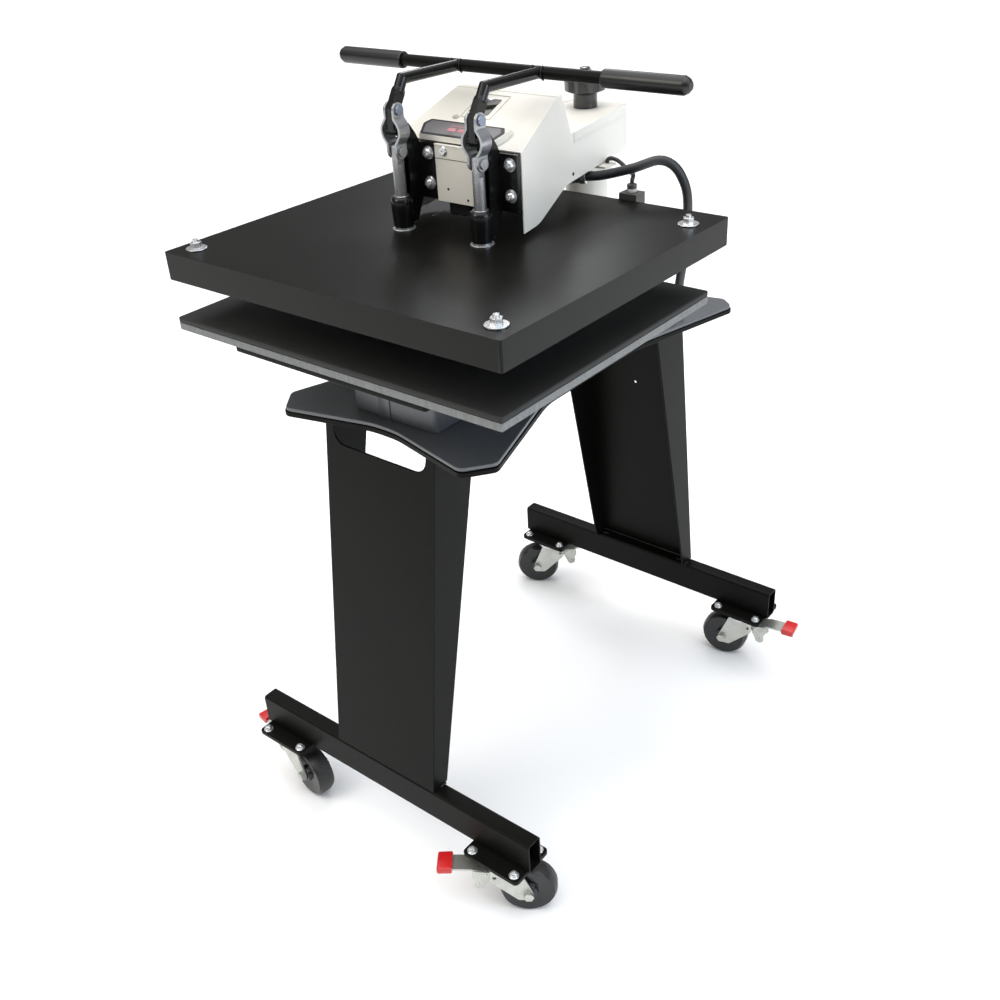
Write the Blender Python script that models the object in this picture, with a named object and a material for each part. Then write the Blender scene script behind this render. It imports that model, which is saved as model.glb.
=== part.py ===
"""Swing-away heat press on a caster stand, built as separate pieces that move on their real axes.

Metres, +Z up, origin on the floor under the middle of the bounding box. The operator stands at -Y.
"""

from math import atan2, cos, hypot, pi, radians, sin, tan
from operator import itemgetter

import bmesh
import bpy
from mathutils import Matrix, Vector

GAP = 0.0003
PRESS_Y = -0.1284

TUBE_WIDTH = 0.0254
TUBE_HEIGHT = 0.0508
TUBE_HALF_LENGTH = 0.260
TUBE_BOTTOM = 0.1046
TUBE_TOP = TUBE_BOTTOM + TUBE_HEIGHT
TUBE_WALL = 0.0022
FOOT_Y = (-0.2086, 0.4710)
STAND_MIDDLE_Y = sum(FOOT_Y) / 2

LEG_HALF_WIDTH = 0.094
LEG_SHEET = 0.0030
LEG_TOP = 0.6565
LEG_WEB_Y = (-0.2207, -0.1570)
LEG_FLANGE_Y = (-0.1914, -0.0810)
LEG_HOLE = (0.0, 0.500)

STAND_PLATE = 0.0068
BASE_PLATE = 0.0054
STAND_PLATE_TOP = LEG_TOP + GAP + STAND_PLATE
BASE_BOTTOM = STAND_PLATE_TOP + GAP
BASE_TOP = BASE_BOTTOM + BASE_PLATE

PAD_HALF = (0.047, 0.0365)
PLATE_HALF = (0.0455, 0.034)
PAD_THICKNESS = 0.005
PAD_BOTTOM = TUBE_BOTTOM - PAD_THICKNESS
CASTER_X = 0.2085
CASTER_HEADINGS = {"fl": 171.0, "fr": 216.6, "rl": 32.0, "rr": 8.0}
WHEEL_RADIUS = 0.040
TRAIL = 0.030

SUBPLATE = (0.7670, 0.7730)
TABLE = (0.7733, 0.7828)
PAD = (0.7831, 0.7904)
TABLE_HALF_X = 0.263
TABLE_Y = (-0.2297, 0.1900)
STROKE = 0.0468

COVER_HALF = (0.266, 0.228)
COVER_Z = (0.8386, 0.8740)
COVER_SHEET = 0.0016
PLATEN_Z = (PAD[1] + GAP + STROKE, 0.8570)
PLATEN_HALF_X = 0.254
PLATEN_Y = (-0.2157, 0.1907)
PLATEN_BOLT_X = 0.238
PLATEN_BOLT_Y = (-0.199, 0.177)

ROD_X = 0.0637
ROD_RADIUS = 0.0075
TOGGLE_Y = -0.008
PIVOT_Z = 0.9956
CRANK = STROKE / 2
LINK = 0.0490
CRANK_PIN_Z = PIVOT_Z + CRANK
ROD_PIN_Z = CRANK_PIN_Z - LINK
TONGUE_HALF = 0.0049
CHEEK = (0.0054, 0.0080)
STRAP_INNER = 0.0053
STRAP_SHEET = 0.0030
STRAP_HALF_WIDTH = 0.0090
GUIDE_Z = (0.8783, 0.9126)
GUIDE_RADIUS = 0.0125
FLANGE_Y = (0.0220, 0.0280)
FLANGE_Z = (0.9080, 0.9760)
FLANGE_HALF = 0.034

HANDLE_Y = 0.116
HANDLE_Z = 1.049
HANDLE_RADIUS = 0.0075
HANDLE_HALF = 0.258
ELBOW = (0.012, 1.0510)
GRIP_RADIUS = 0.0108
GRIP_X = (0.156, 0.2705)

POST_Y = 0.302
POST_RADIUS = 0.0295
JOURNAL_RADIUS = 0.0270
POST_SHOULDER_Z = 0.8830
SLEEVE_RADIUS = 0.0370
ARM_Z = (0.8860, 0.9520)
ARM_HALF_X = 0.0320
CROSS_HALF_X = 0.0940

HOOD_FRONT_Y = 0.030
HOOD_REAR_Y = 0.3430
HOOD_FRONT_HALF = 0.0985
HOOD_TAPER = 0.185
HOOD_SHEET = 0.0015
DECK_Z = 0.9675

CONSOLE_HALF = 0.066
KNOB_STEM = 0.0165
KNOB_CAP = 0.0290
KNOB_CAP_Z = (0.0180, 0.0405)

HOSE_RADIUS = 0.0063
CABLE_RADIUS = 0.0028
HOSE_ROUTE = (
    (0.0545, 0.2240, 0.8985), (0.0695, 0.2300, 0.8996), (0.0876, 0.2360, 0.9036),
    (0.1160, 0.2460, 0.9119), (0.1378, 0.2680, 0.9190), (0.1530, 0.2800, 0.9120),
    (0.1640, 0.2880, 0.8930), (0.1690, 0.2940, 0.8643), (0.1640, 0.3020, 0.8050),
    (0.1520, 0.3100, 0.7458), (0.1380, 0.3280, 0.7080), (0.1280, 0.3400, 0.6905),
)
CABLE_ROUTE = (
    (0.1160, 0.2400, 0.8943), (0.1159, 0.2408, 0.8978), (0.1110, 0.2505, 0.9012),
    (0.0980, 0.2620, 0.9005), (0.0820, 0.2705, 0.9060), (0.0720, 0.2715, 0.9108),
    (0.0640, 0.2690, 0.9130), (0.0604, 0.2660, 0.9112), (0.0600, 0.2655, 0.9076),
)

SIDES = {"left": -1, "right": 1}
AXES = {"X": (1, 2, 0), "Y": (0, 2, 1), "Z": (0, 1, 2)}


# Scene, materials and objects


def clear_scene():
    """Remove every object that the file opened with."""
    for item in list(bpy.data.objects):
        bpy.data.objects.remove(item)


def material(name, colour, roughness, metallic=0.0):
    """Return the named material, made once."""
    found = bpy.data.materials.get(name)
    if found:
        return found
    made = bpy.data.materials.new(name)
    made.use_nodes = True
    shader = made.node_tree.nodes["Principled BSDF"]
    shader.inputs["Base Color"].default_value = (*colour, 1.0)
    shader.inputs["Roughness"].default_value = roughness
    shader.inputs["Metallic"].default_value = metallic
    return made


FINISHES = {
    "black_paint": ((0.018, 0.018, 0.020), 0.42, 0.0),
    "black_texture": ((0.022, 0.021, 0.020), 0.50, 0.0),
    "hammertone": ((0.26, 0.27, 0.28), 0.40, 0.3),
    "cream_paint": ((0.74, 0.71, 0.63), 0.38, 0.0),
    "zinc": ((0.62, 0.60, 0.55), 0.34, 1.0),
    "steel": ((0.60, 0.60, 0.61), 0.22, 1.0),
    "aluminium": ((0.72, 0.73, 0.74), 0.36, 1.0),
    "silicone": ((0.045, 0.044, 0.044), 0.82, 0.0),
    "vinyl": ((0.016, 0.016, 0.017), 0.55, 0.0),
    "wheel_plastic": ((0.020, 0.020, 0.022), 0.25, 0.0),
    "membrane": ((0.12, 0.12, 0.13), 0.45, 0.0),
    "grey_plastic": ((0.30, 0.30, 0.28), 0.50, 0.0),
}


def anchor(name, location, parent=None, turn=0.0):
    """Make an empty on a joint axis; location is in the parent's frame and turn is about +Z."""
    empty = bpy.data.objects.new(name, None)
    bpy.context.collection.objects.link(empty)
    empty.location = location
    empty.rotation_euler[2] = turn
    empty.parent = parent
    empty.empty_display_size = 0.02
    return empty


def press_point(empty):
    """Where an unturned empty stands in the press frame."""
    point = Vector(empty.location)
    while empty.parent and empty.parent.name != "press":
        empty = empty.parent
        point += Vector(empty.location)
    return point if empty.name != "press" else Vector()


def add(name, bm, finish, parent, local=False):
    """Link a mesh as a named object; its points are in the press frame unless local is set."""
    bmesh.ops.remove_doubles(bm, verts=bm.verts, dist=1e-6)
    bmesh.ops.recalc_face_normals(bm, faces=bm.faces)
    mesh = bpy.data.meshes.new(name)
    bm.to_mesh(mesh)
    bm.free()
    if not local:
        mesh.transform(Matrix.Translation(-press_point(parent)))
    mesh.materials.append(material(finish, *FINISHES[finish]))
    mesh.shade_smooth()
    mesh.set_sharp_from_angle(angle=radians(32))
    made = bpy.data.objects.new(name, mesh)
    bpy.context.collection.objects.link(made)
    made.parent = parent
    return made


def combine(target, bm, operation="DIFFERENCE", local=False):
    """Cut, join or trim the target with a hidden tool mesh."""
    tool = add(f"tool_{operation.lower()}_{target.name}", bm, "zinc", target.parent, local)
    tool.hide_render = True
    tool.display_type = "WIRE"
    step = target.modifiers.new(operation.title(), "BOOLEAN")
    step.operation = operation
    step.solver = "EXACT"
    step.object = tool
    return target


# Mesh builders


def spot(axis, flat, along):
    """Put a 2-D outline point and a distance along the axis into X, Y, Z."""
    first, second, third = AXES[axis]
    point = [0.0, 0.0, 0.0]
    point[first], point[second], point[third] = flat[0], flat[1], along
    return point


def add_prism(bm, axis, outline, low, high):
    """Add a closed prism of the outline between low and high along the axis."""
    ends = [[bm.verts.new(spot(axis, p, at)) for p in outline] for at in (low, high)]
    count = len(outline)
    for i in range(count):
        j = (i + 1) % count
        bm.faces.new((ends[0][i], ends[0][j], ends[1][j], ends[1][i]))
    bm.faces.new(reversed(ends[0]))
    bm.faces.new(ends[1])
    return bm


def prism(axis, outline, low, high):
    """Return one closed prism."""
    return add_prism(bmesh.new(), axis, outline, low, high)


def rectangle(low, high):
    """Corners of a plain rectangle."""
    return [(low[0], low[1]), (high[0], low[1]), (high[0], high[1]), (low[0], high[1])]


def add_box(bm, low, high):
    """Add a box between two corners."""
    return add_prism(bm, "Z", rectangle(low, high), low[2], high[2])


def box(low, high):
    """Return one box."""
    return add_box(bmesh.new(), low, high)


def circle(centre, radius, count=24, phase=0.0):
    """Points of a circle in 2-D."""
    steps = (phase + 2 * pi * i / count for i in range(count))
    return [(centre[0] + radius * cos(a), centre[1] + radius * sin(a)) for a in steps]


def rounded(corners, steps=5):
    """Outline with each corner (x, y, radius) replaced by an arc."""
    outline = []
    count = len(corners)
    for i, (x, y, radius) in enumerate(corners):
        here = Vector((x, y))
        before = (Vector(corners[i - 1][:2]) - here).normalized()
        after = (Vector(corners[(i + 1) % count][:2]) - here).normalized()
        if radius <= 0:
            outline.append(tuple(here))
            continue
        half = before.angle(after) / 2
        centre = here + (before + after).normalized() * (radius / sin(half))
        start = here + before * (radius / tan(half)) - centre
        end = here + after * (radius / tan(half)) - centre
        turn = start.angle_signed(end)
        for k in range(steps + 1):
            angle = -turn * k / steps
            spun = Vector((
                start.x * cos(angle) - start.y * sin(angle),
                start.x * sin(angle) + start.y * cos(angle),
            ))
            outline.append(tuple(centre + spun))
    return outline


def rounded_rectangle(low, high, radius, steps=4):
    """Rectangle outline with round corners."""
    return rounded([(x, y, radius) for x, y in rectangle(low, high)], steps)


def add_ring(bm, axis, outer, inner, low, high):
    """Add a prism with a through hole; both outlines have the same number of points."""
    loops = [
        [bm.verts.new(spot(axis, p, at)) for p in outline]
        for outline in (outer, inner)
        for at in (low, high)
    ]
    outer_low, outer_high, inner_low, inner_high = loops
    count = len(outer)
    for i in range(count):
        j = (i + 1) % count
        bm.faces.new((outer_low[i], outer_low[j], outer_high[j], outer_high[i]))
        bm.faces.new((inner_low[j], inner_low[i], inner_high[i], inner_high[j]))
        bm.faces.new((outer_low[j], outer_low[i], inner_low[i], inner_low[j]))
        bm.faces.new((outer_high[i], outer_high[j], inner_high[j], inner_high[i]))
    return bm


def add_turned(bm, profile, centre, axis, count=24, ring=False):
    """Turn (radius, height) points about an axis through centre; a ring profile has a bore."""
    rows = []
    for radius, height in profile:
        if radius < 1e-7:
            rows.append([bm.verts.new(turned_point(axis, centre, 0, height, 0))])
        else:
            steps = (2 * pi * i / count for i in range(count))
            rows.append([bm.verts.new(turned_point(axis, centre, radius, height, a)) for a in steps])
    pairs = list(zip(rows, rows[1:]))
    if ring:
        pairs.append((rows[-1], rows[0]))
    for low, high in pairs:
        for i in range(count):
            j = (i + 1) % count
            if len(low) == 1:
                bm.faces.new((low[0], high[i], high[j]))
            elif len(high) == 1:
                bm.faces.new((low[i], low[j], high[0]))
            else:
                bm.faces.new((low[i], low[j], high[j], high[i]))
    return bm


def turned_point(axis, centre, radius, height, angle):
    """One point of a turned surface."""
    flat = (radius * cos(angle), radius * sin(angle))
    return Vector(centre) + Vector(spot(axis, flat, height))


def turned(profile, centre, axis, count=24, ring=False):
    """Return one turned solid."""
    return add_turned(bmesh.new(), profile, centre, axis, count, ring)


def add_loft(bm, low, high):
    """Join two outlines of 3-D points into a closed body."""
    ends = [[bm.verts.new(p) for p in loop] for loop in (low, high)]
    count = len(low)
    for i in range(count):
        j = (i + 1) % count
        bm.faces.new((ends[0][i], ends[0][j], ends[1][j], ends[1][i]))
    bm.faces.new(reversed(ends[0]))
    bm.faces.new(ends[1])
    return bm


def bar_outline(points, half, steps=6):
    """Outline of a bar of even width with round ends that follows 2-D points."""
    path = [Vector(p) for p in points]
    left, right = [], []
    for i in range(1, len(path) - 1):
        before = (path[i] - path[i - 1]).normalized()
        after = (path[i + 1] - path[i]).normalized()
        side = Vector((-before.y - after.y, before.x + after.x)).normalized()
        reach = half / max(0.3, side.dot(Vector((-before.y, before.x))))
        left.append(path[i] + side * reach)
        right.append(path[i] - side * reach)
    outline = []
    for end, other, flank in ((path[-1], path[-2], left), (path[0], path[1], right[::-1])):
        outline += [tuple(p) for p in flank]
        ahead = (end - other).normalized()
        start = atan2(ahead.y, ahead.x) + pi / 2
        for k in range(steps + 1):
            angle = start - pi * k / steps
            outline.append((end.x + half * cos(angle), end.y + half * sin(angle)))
    return outline


def sheet_outline(points, sheet):
    """Closed outline of a folded strip of even thickness along 2-D points."""
    path = [Vector(p) for p in points]
    left, right = [], []
    for i, here in enumerate(path):
        before = (here - path[i - 1]).normalized() if i else None
        after = (path[i + 1] - here).normalized() if i + 1 < len(path) else None
        before, after = before or after, after or before
        side = Vector((-before.y - after.y, before.x + after.x)).normalized()
        reach = sheet / 2 / side.dot(Vector((-before.y, before.x)))
        left.append(tuple(here + side * reach))
        right.append(tuple(here - side * reach))
    return left + right[::-1]


def add_swept(bm, points, radius, count=14):
    """Add a round bar with flat ends along 3-D points in a plane of constant X."""
    path = [Vector(p) for p in points]
    rings = []
    for i, here in enumerate(path):
        before = (here - path[i - 1]).normalized() if i else None
        after = (path[i + 1] - here).normalized() if i + 1 < len(path) else None
        before, after = before or after, after or before
        ahead = (before + after).normalized()
        across = ahead.cross(Vector((1, 0, 0))).normalized() * (radius / ahead.dot(after))
        side = Vector((radius, 0, 0))
        steps = (2 * pi * k / count for k in range(count))
        rings.append([here + side * cos(a) + across * sin(a) for a in steps])
    verts = [[bm.verts.new(p) for p in ring] for ring in rings]
    for low, high in zip(verts, verts[1:]):
        for i in range(count):
            j = (i + 1) % count
            bm.faces.new((low[i], low[j], high[j], high[i]))
    bm.faces.new(reversed(verts[0]))
    bm.faces.new(verts[-1])
    return bm


def add_hexagon(bm, axis, centre, across_flats, low, high, phase=0.0):
    """Add a hexagon prism."""
    return add_prism(bm, axis, circle(centre, across_flats / 2 / cos(pi / 6), 6, phase), low, high)


def smooth_route(points, spacing):
    """Points along a smooth curve through the route, about one spacing apart."""
    path = [Vector(p) for p in points]
    path = [path[0] * 2 - path[1], *path, path[-1] * 2 - path[-2]]
    route = [path[1]]
    for p0, p1, p2, p3 in zip(path, path[1:], path[2:], path[3:]):
        steps = max(1, round((p2 - p1).length / spacing))
        for k in range(1, steps + 1):
            t = k / steps
            ahead = (p2 - p0) * t
            bend = (p0 * 2 - p1 * 5 + p2 * 4 - p3) * t * t
            twist = (p1 * 3 - p0 - p2 * 3 + p3) * t * t * t
            route.append((p1 * 2 + ahead + bend + twist) / 2)
    return route


def cord(name, points, radius, parent):
    """Make a round cord along a route."""
    curve = bpy.data.curves.new(name, "CURVE")
    curve.dimensions = "3D"
    curve.bevel_depth = radius
    curve.bevel_resolution = 2
    curve.use_fill_caps = True
    route = smooth_route(points, radius * 4)
    spline = curve.splines.new("POLY")
    spline.points.add(len(route) - 1)
    for slot, point in zip(spline.points, route):
        slot.co = (*(point - press_point(parent)), 1.0)
    curve.materials.append(material("vinyl", *FINISHES["vinyl"]))
    made = bpy.data.objects.new(name, curve)
    bpy.context.collection.objects.link(made)
    made.parent = parent
    return made


# Stand


def make_feet(press):
    """Two hollow foot tubes, each with a caster pad and a bolted caster plate under both ends."""
    for name, y in zip(("foot_tube_front", "foot_tube_rear"), FOOT_Y):
        half = TUBE_WIDTH / 2
        outer = rounded_rectangle((y - half, TUBE_BOTTOM), (y + half, TUBE_TOP), 0.004, 3)
        inset = half - TUBE_WALL
        inner = rounded_rectangle(
            (y - inset, TUBE_BOTTOM + TUBE_WALL), (y + inset, TUBE_TOP - TUBE_WALL), 0.002, 3
        )
        tube = add_ring(bmesh.new(), "X", outer, inner, -TUBE_HALF_LENGTH, TUBE_HALF_LENGTH)
        foot = add(name, tube, "black_paint", press)
        pads, plates = bmesh.new(), bmesh.new()
        for x in (-CASTER_X, CASTER_X):
            add_prism(pads, "Z", plate_outline(x, y, PAD_HALF), PAD_BOTTOM, TUBE_BOTTOM + TUBE_WALL / 2)
            add_prism(plates, "Z", plate_outline(x, y, PLATE_HALF), PAD_BOTTOM - 0.003, PAD_BOTTOM + 0.001)
        combine(foot, pads, "UNION")
        combine(foot, plates, "UNION")


def plate_outline(x, y, half):
    """Round-cornered plate outline about x, y."""
    return rounded_rectangle((x - half[0], y - half[1]), (x + half[0], y + half[1]), 0.006, 3)


def leg_section(web_y, flange_y, z):
    """U section of a leg, open towards the middle of the stand."""
    w, t = LEG_HALF_WIDTH, LEG_SHEET
    inward = 1 if flange_y > web_y else -1
    flat = [
        (-w, web_y), (w, web_y), (w, flange_y), (w - t, flange_y),
        (w - t, web_y + inward * t), (-w + t, web_y + inward * t), (-w + t, flange_y), (-w, flange_y),
    ]
    return [(x, y, z) for x, y in flat]


def make_legs(press):
    """Front and rear folded legs, with the web cut away under the base plate."""
    past, notch_half, notch_depth = 0.02, 0.079, 0.025
    for name, mirrored in (("leg_front", False), ("leg_rear", True)):
        web, flange = LEG_WEB_Y, LEG_FLANGE_Y
        if mirrored:
            web = [2 * STAND_MIDDLE_Y - y for y in web]
            flange = [2 * STAND_MIDDLE_Y - y for y in flange]
        low = leg_section(web[0], flange[0], TUBE_TOP + GAP)
        high = leg_section(web[1], flange[1], LEG_TOP)
        leg = add(name, add_loft(bmesh.new(), low, high), "black_paint", press)
        notch = rounded([
            (-notch_half, LEG_TOP - notch_depth, 0.018), (notch_half, LEG_TOP - notch_depth, 0.018),
            (notch_half, LEG_TOP + past, 0), (-notch_half, LEG_TOP + past, 0),
        ])
        near, far = min(web) - past, max(web) + past
        bm = prism("Y", notch, near, far)
        if mirrored:
            add_prism(bm, "Y", circle(LEG_HOLE, 0.0025, 12), near, far)
        combine(leg, bm)


def base_outline(grow=0.0):
    """Hourglass outline shared by the stand's top plate and the base plate."""
    half = [
        (0.022, -0.146, 0.120), (0.150, -0.1765, 0.012), (0.1785, -0.140, 0.012),
        (0.122, 0.035, 0.120), (0.122, 0.230, 0.120), (0.170, 0.437, 0.012),
        (0.148, 0.4555, 0.012), (0.022, 0.430, 0.120),
    ]
    right = [(x + grow, y + (grow if y > 0 else -grow), r) for x, y, r in half]
    return rounded(right + [(-x, y, r) for x, y, r in reversed(right)], 3)


def make_base(press):
    """Stand top plate and the base plate bolted on it."""
    top_plate = prism("Z", base_outline(), LEG_TOP + GAP, STAND_PLATE_TOP)
    add("stand_top_plate", top_plate, "black_paint", press)
    add("base_plate", prism("Z", base_outline(-0.0015), BASE_BOTTOM, BASE_TOP), "hammertone", press)


# Casters


def make_caster(press, key, x, y, heading):
    """One swivel caster in its own frame: lever towards +X, wheel trailing towards -X."""
    swivel = anchor(f"swivel_axis_{key}", (x, y, 0), press, radians(heading))
    axle = anchor(f"wheel_axis_{key}", (-TRAIL, 0, WHEEL_RADIUS), swivel)
    brake = anchor(f"brake_axis_{key}", (0.016, 0, 0.0735), swivel)

    race = [
        (0, 0.0838), (0.0265, 0.0838), (0.0275, 0.0870), (0.0275, 0.0905), (0.022, 0.0955), (0, 0.0955),
    ]
    fork = add(f"caster_fork_{key}", turned(race, (0, 0, 0), "Z", 16), "zinc", swivel, True)
    cheek = rounded([
        (-TRAIL - 0.012, WHEEL_RADIUS - 0.011, 0.010), (-TRAIL + 0.014, WHEEL_RADIUS - 0.011, 0.008),
        (0.022, 0.066, 0.006), (0.022, 0.0865, 0), (-0.019, 0.0865, 0),
    ], 3)
    cheeks = add_prism(bmesh.new(), "Y", cheek, 0.0175, 0.0200)
    add_prism(cheeks, "Y", cheek, -0.0200, -0.0175)
    combine(fork, cheeks, "UNION", True)
    shank = [(0, -0.0230), (0.0040, -0.0230), (0.0040, 0.0230), (0, 0.0230)]
    combine(fork, turned(shank, (-TRAIL, 0, WHEEL_RADIUS), "Y", 12), "UNION", True)
    heads = add_hexagon(bmesh.new(), "Y", (-TRAIL, WHEEL_RADIUS), 0.013, -0.0262, -0.0195)
    add_hexagon(heads, "Y", (-TRAIL, WHEEL_RADIUS), 0.013, 0.0195, 0.0262)
    combine(fork, heads, "UNION", True)
    combine(fork, prism("Y", circle((0.016, 0.0735), 0.0028, 10), -0.03, 0.03), "DIFFERENCE", True)

    tread = [(0.0043, -0.0165), (0.012, -0.0165), (0.0135, -0.0115), (0.0310, -0.0140), (0.0365, -0.0140),
             (WHEEL_RADIUS, -0.0070)]
    profile = tread + [(r, -h) for r, h in reversed(tread)]
    add(f"caster_wheel_{key}", turned(profile, (0, 0, 0), "Y", 28, True), "wheel_plastic", axle, True)

    blade = sheet_outline([(-0.006, 0.004), (0.010, 0.003), (0.034, 0.0085), (0.0650, 0.0095)], 0.0030)
    lever = prism("Y", blade, -0.0130, 0.0130)
    lever_body = add(f"caster_brake_{key}", lever, "zinc", brake, True)
    hub = turned([(0, -0.0166), (0.0045, -0.0166), (0.0045, 0.0166), (0, 0.0166)], (0, 0, 0), "Y", 12)
    combine(lever_body, hub, "UNION", True)
    tip = rounded([
        (0.058, 0.0055, 0.002), (0.0795, 0.0050, 0.004), (0.0795, 0.0140, 0.004), (0.058, 0.0150, 0.002),
    ], 3)
    combine(lever_body, prism("Y", tip, -0.0150, 0.0150), "UNION", True)


# Table and fixed press parts


def make_table(press):
    """Pedestal, stiffening plate, aluminium table and silicone pad."""
    wall = 0.004
    outer = rounded_rectangle((-0.070, -0.125), (0.070, 0.100), 0.006, 3)
    inner = rounded_rectangle((-0.070 + wall, -0.125 + wall), (0.070 - wall, 0.100 - wall), 0.003, 3)
    support = add_ring(bmesh.new(), "Z", outer, inner, BASE_TOP + GAP, SUBPLATE[0] - GAP)
    add("table_support", support, "hammertone", press)
    sub = rounded_rectangle((-0.157, TABLE_Y[0] + 0.0005), (0.157, 0.150), 0.004, 2)
    add("table_stiffener", prism("Z", sub, *SUBPLATE), "black_paint", press)
    table = rounded_rectangle((-TABLE_HALF_X, TABLE_Y[0]), (TABLE_HALF_X, TABLE_Y[1]), 0.0025, 3)
    add("lower_table", prism("Z", table, *TABLE), "aluminium", press)
    add("silicone_pad", prism("Z", table, *PAD), "silicone", press)


def make_post(press):
    """Fixed swing post with a flared foot and a turned-down journal."""
    profile = [
        (0, BASE_TOP + GAP), (0.046, BASE_TOP + GAP), (0.046, BASE_TOP + 0.008),
        (0.034, BASE_TOP + 0.012), (POST_RADIUS, BASE_TOP + 0.024), (POST_RADIUS, POST_SHOULDER_Z),
        (JOURNAL_RADIUS, POST_SHOULDER_Z), (JOURNAL_RADIUS, ARM_Z[1] - 0.003), (0, ARM_Z[1] - 0.003),
    ]
    add("swing_post", turned(profile, (0, POST_Y, 0), "Z", 32), "cream_paint", press)
    low, high = POST_SHOULDER_Z + GAP, ARM_Z[0] - GAP
    washer = [(JOURNAL_RADIUS + GAP, low), (0.036, low), (0.036, high), (JOURNAL_RADIUS + GAP, high)]
    add("thrust_washer", turned(washer, (0, POST_Y, 0), "Z", 32, True), "grey_plastic", press)


# Head: everything that swings on the post


def make_arm(head):
    """Arm beam with its bearing sleeve, front cross plate and cable plate."""
    beam = rounded_rectangle((-ARM_HALF_X, ARM_Z[0]), (ARM_HALF_X, ARM_Z[1]), 0.006, 3)
    arm = add("head_arm", prism("Y", beam, 0.0300, POST_Y), "cream_paint", head)
    sleeve = prism("Z", circle((0, POST_Y), SLEEVE_RADIUS, 32), *ARM_Z)
    combine(arm, sleeve, "UNION")
    front = box((-CROSS_HALF_X, FLANGE_Y[1] + GAP, 0.9085), (CROSS_HALF_X, 0.0345, 0.9740))
    combine(arm, front, "UNION")
    combine(arm, box((0.020, 0.248, 0.9035), (0.068, 0.275, 0.9065)), "UNION")
    combine(arm, box((-0.05, 0.020, ARM_Z[0] - 0.01), (0.05, 0.0560, 0.9085)))
    bore = prism("Z", circle((0, POST_Y), JOURNAL_RADIUS + GAP, 32), ARM_Z[0] - 0.01, ARM_Z[1] + 0.01)
    combine(arm, bore)


def hood_half(y, inset=0.0):
    """Half width of the tapered hood at y."""
    return HOOD_FRONT_HALF - HOOD_TAPER * (y - HOOD_FRONT_Y) - inset


def hood_profile(inset):
    """Side outline of the hood; an inset outline is the hollow, open below."""
    t = inset
    top = [
        (HOOD_FRONT_Y, 0.9775 - t, 0), (0.130, 1.0200 - 1.2 * t, 0), (0.140 - t, 1.0195 - 1.2 * t, 0),
        (0.1650 - t, DECK_Z - t, 0), (HOOD_REAR_Y - t, DECK_Z - t, 0),
    ]
    if inset:
        skirt = [(HOOD_REAR_Y - t, 0.87, 0), (HOOD_FRONT_Y, 0.87, 0)]
    else:
        skirt = [
            (HOOD_REAR_Y, 0.9080, 0), (0.1480, 0.9080, 0.060),
            (0.0700, 0.8815, 0.060), (HOOD_FRONT_Y, 0.8815, 0),
        ]
    return rounded(top + skirt)


def add_tapered(bm, profile, inset=0.0):
    """Add a body with the side profile and the hood's tapered plan."""
    low = [(-hood_half(y, inset), y, z) for y, z in profile]
    high = [(hood_half(y, inset), y, z) for y, z in profile]
    return add_loft(bm, low, high)


def make_hood(head):
    """Folded sheet hood, open below and in front."""
    hood = add("hood", add_tapered(bmesh.new(), hood_profile(0.0)), "cream_paint", head)
    hollow = [(y if y > HOOD_FRONT_Y else HOOD_FRONT_Y - 0.01, z) for y, z in hood_profile(HOOD_SHEET)]
    combine(hood, add_tapered(bmesh.new(), hollow, HOOD_SHEET))
    combine(hood, prism("Z", circle((0, POST_Y), 0.0056, 16), DECK_Z - 0.005, DECK_Z + 0.005))


def make_front(head):
    """Cream front panel, control console and the limit switch under them."""
    panel = box((-0.0293, 0.0215, 0.9065), (0.0293, FLANGE_Y[1], 0.9760))
    add("front_panel", panel, "cream_paint", head)
    side = [
        (0.0260, 0.9780), (0.0300, 0.9780), (0.0580, 0.9899),
        (0.0580, 0.9935), (0.0530, 0.9965), (0.0260, 0.9846),
    ]
    console = add("control_panel", prism("X", side, -CONSOLE_HALF, CONSOLE_HALF), "membrane", head)
    corner = [(0.0662, 0.020), (0.054, 0.020), (0.0662, 0.045)]
    clip = prism("Z", corner, 0.96, 1.01)
    add_prism(clip, "Z", [(-x, y) for x, y in corner], 0.96, 1.01)
    combine(console, clip)
    add("limit_switch", box((-0.024, 0.036, 0.8880), (0.008, 0.052, 0.9030)), "black_paint", head)
    combine(bpy.data.objects["limit_switch"], box((-0.020, 0.044, 0.9025), (0.004, 0.052, 0.9075)), "UNION")
    pivot = anchor("switch_axis", (-0.0245, 0.044 - POST_Y, 0.8860), head)
    wire = bmesh.new()
    add_box(wire, (-0.056, 0.0432, 0.8850), (-0.0245, 0.0448, 0.8866))
    add("switch_lever", wire, "zinc", pivot)


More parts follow.
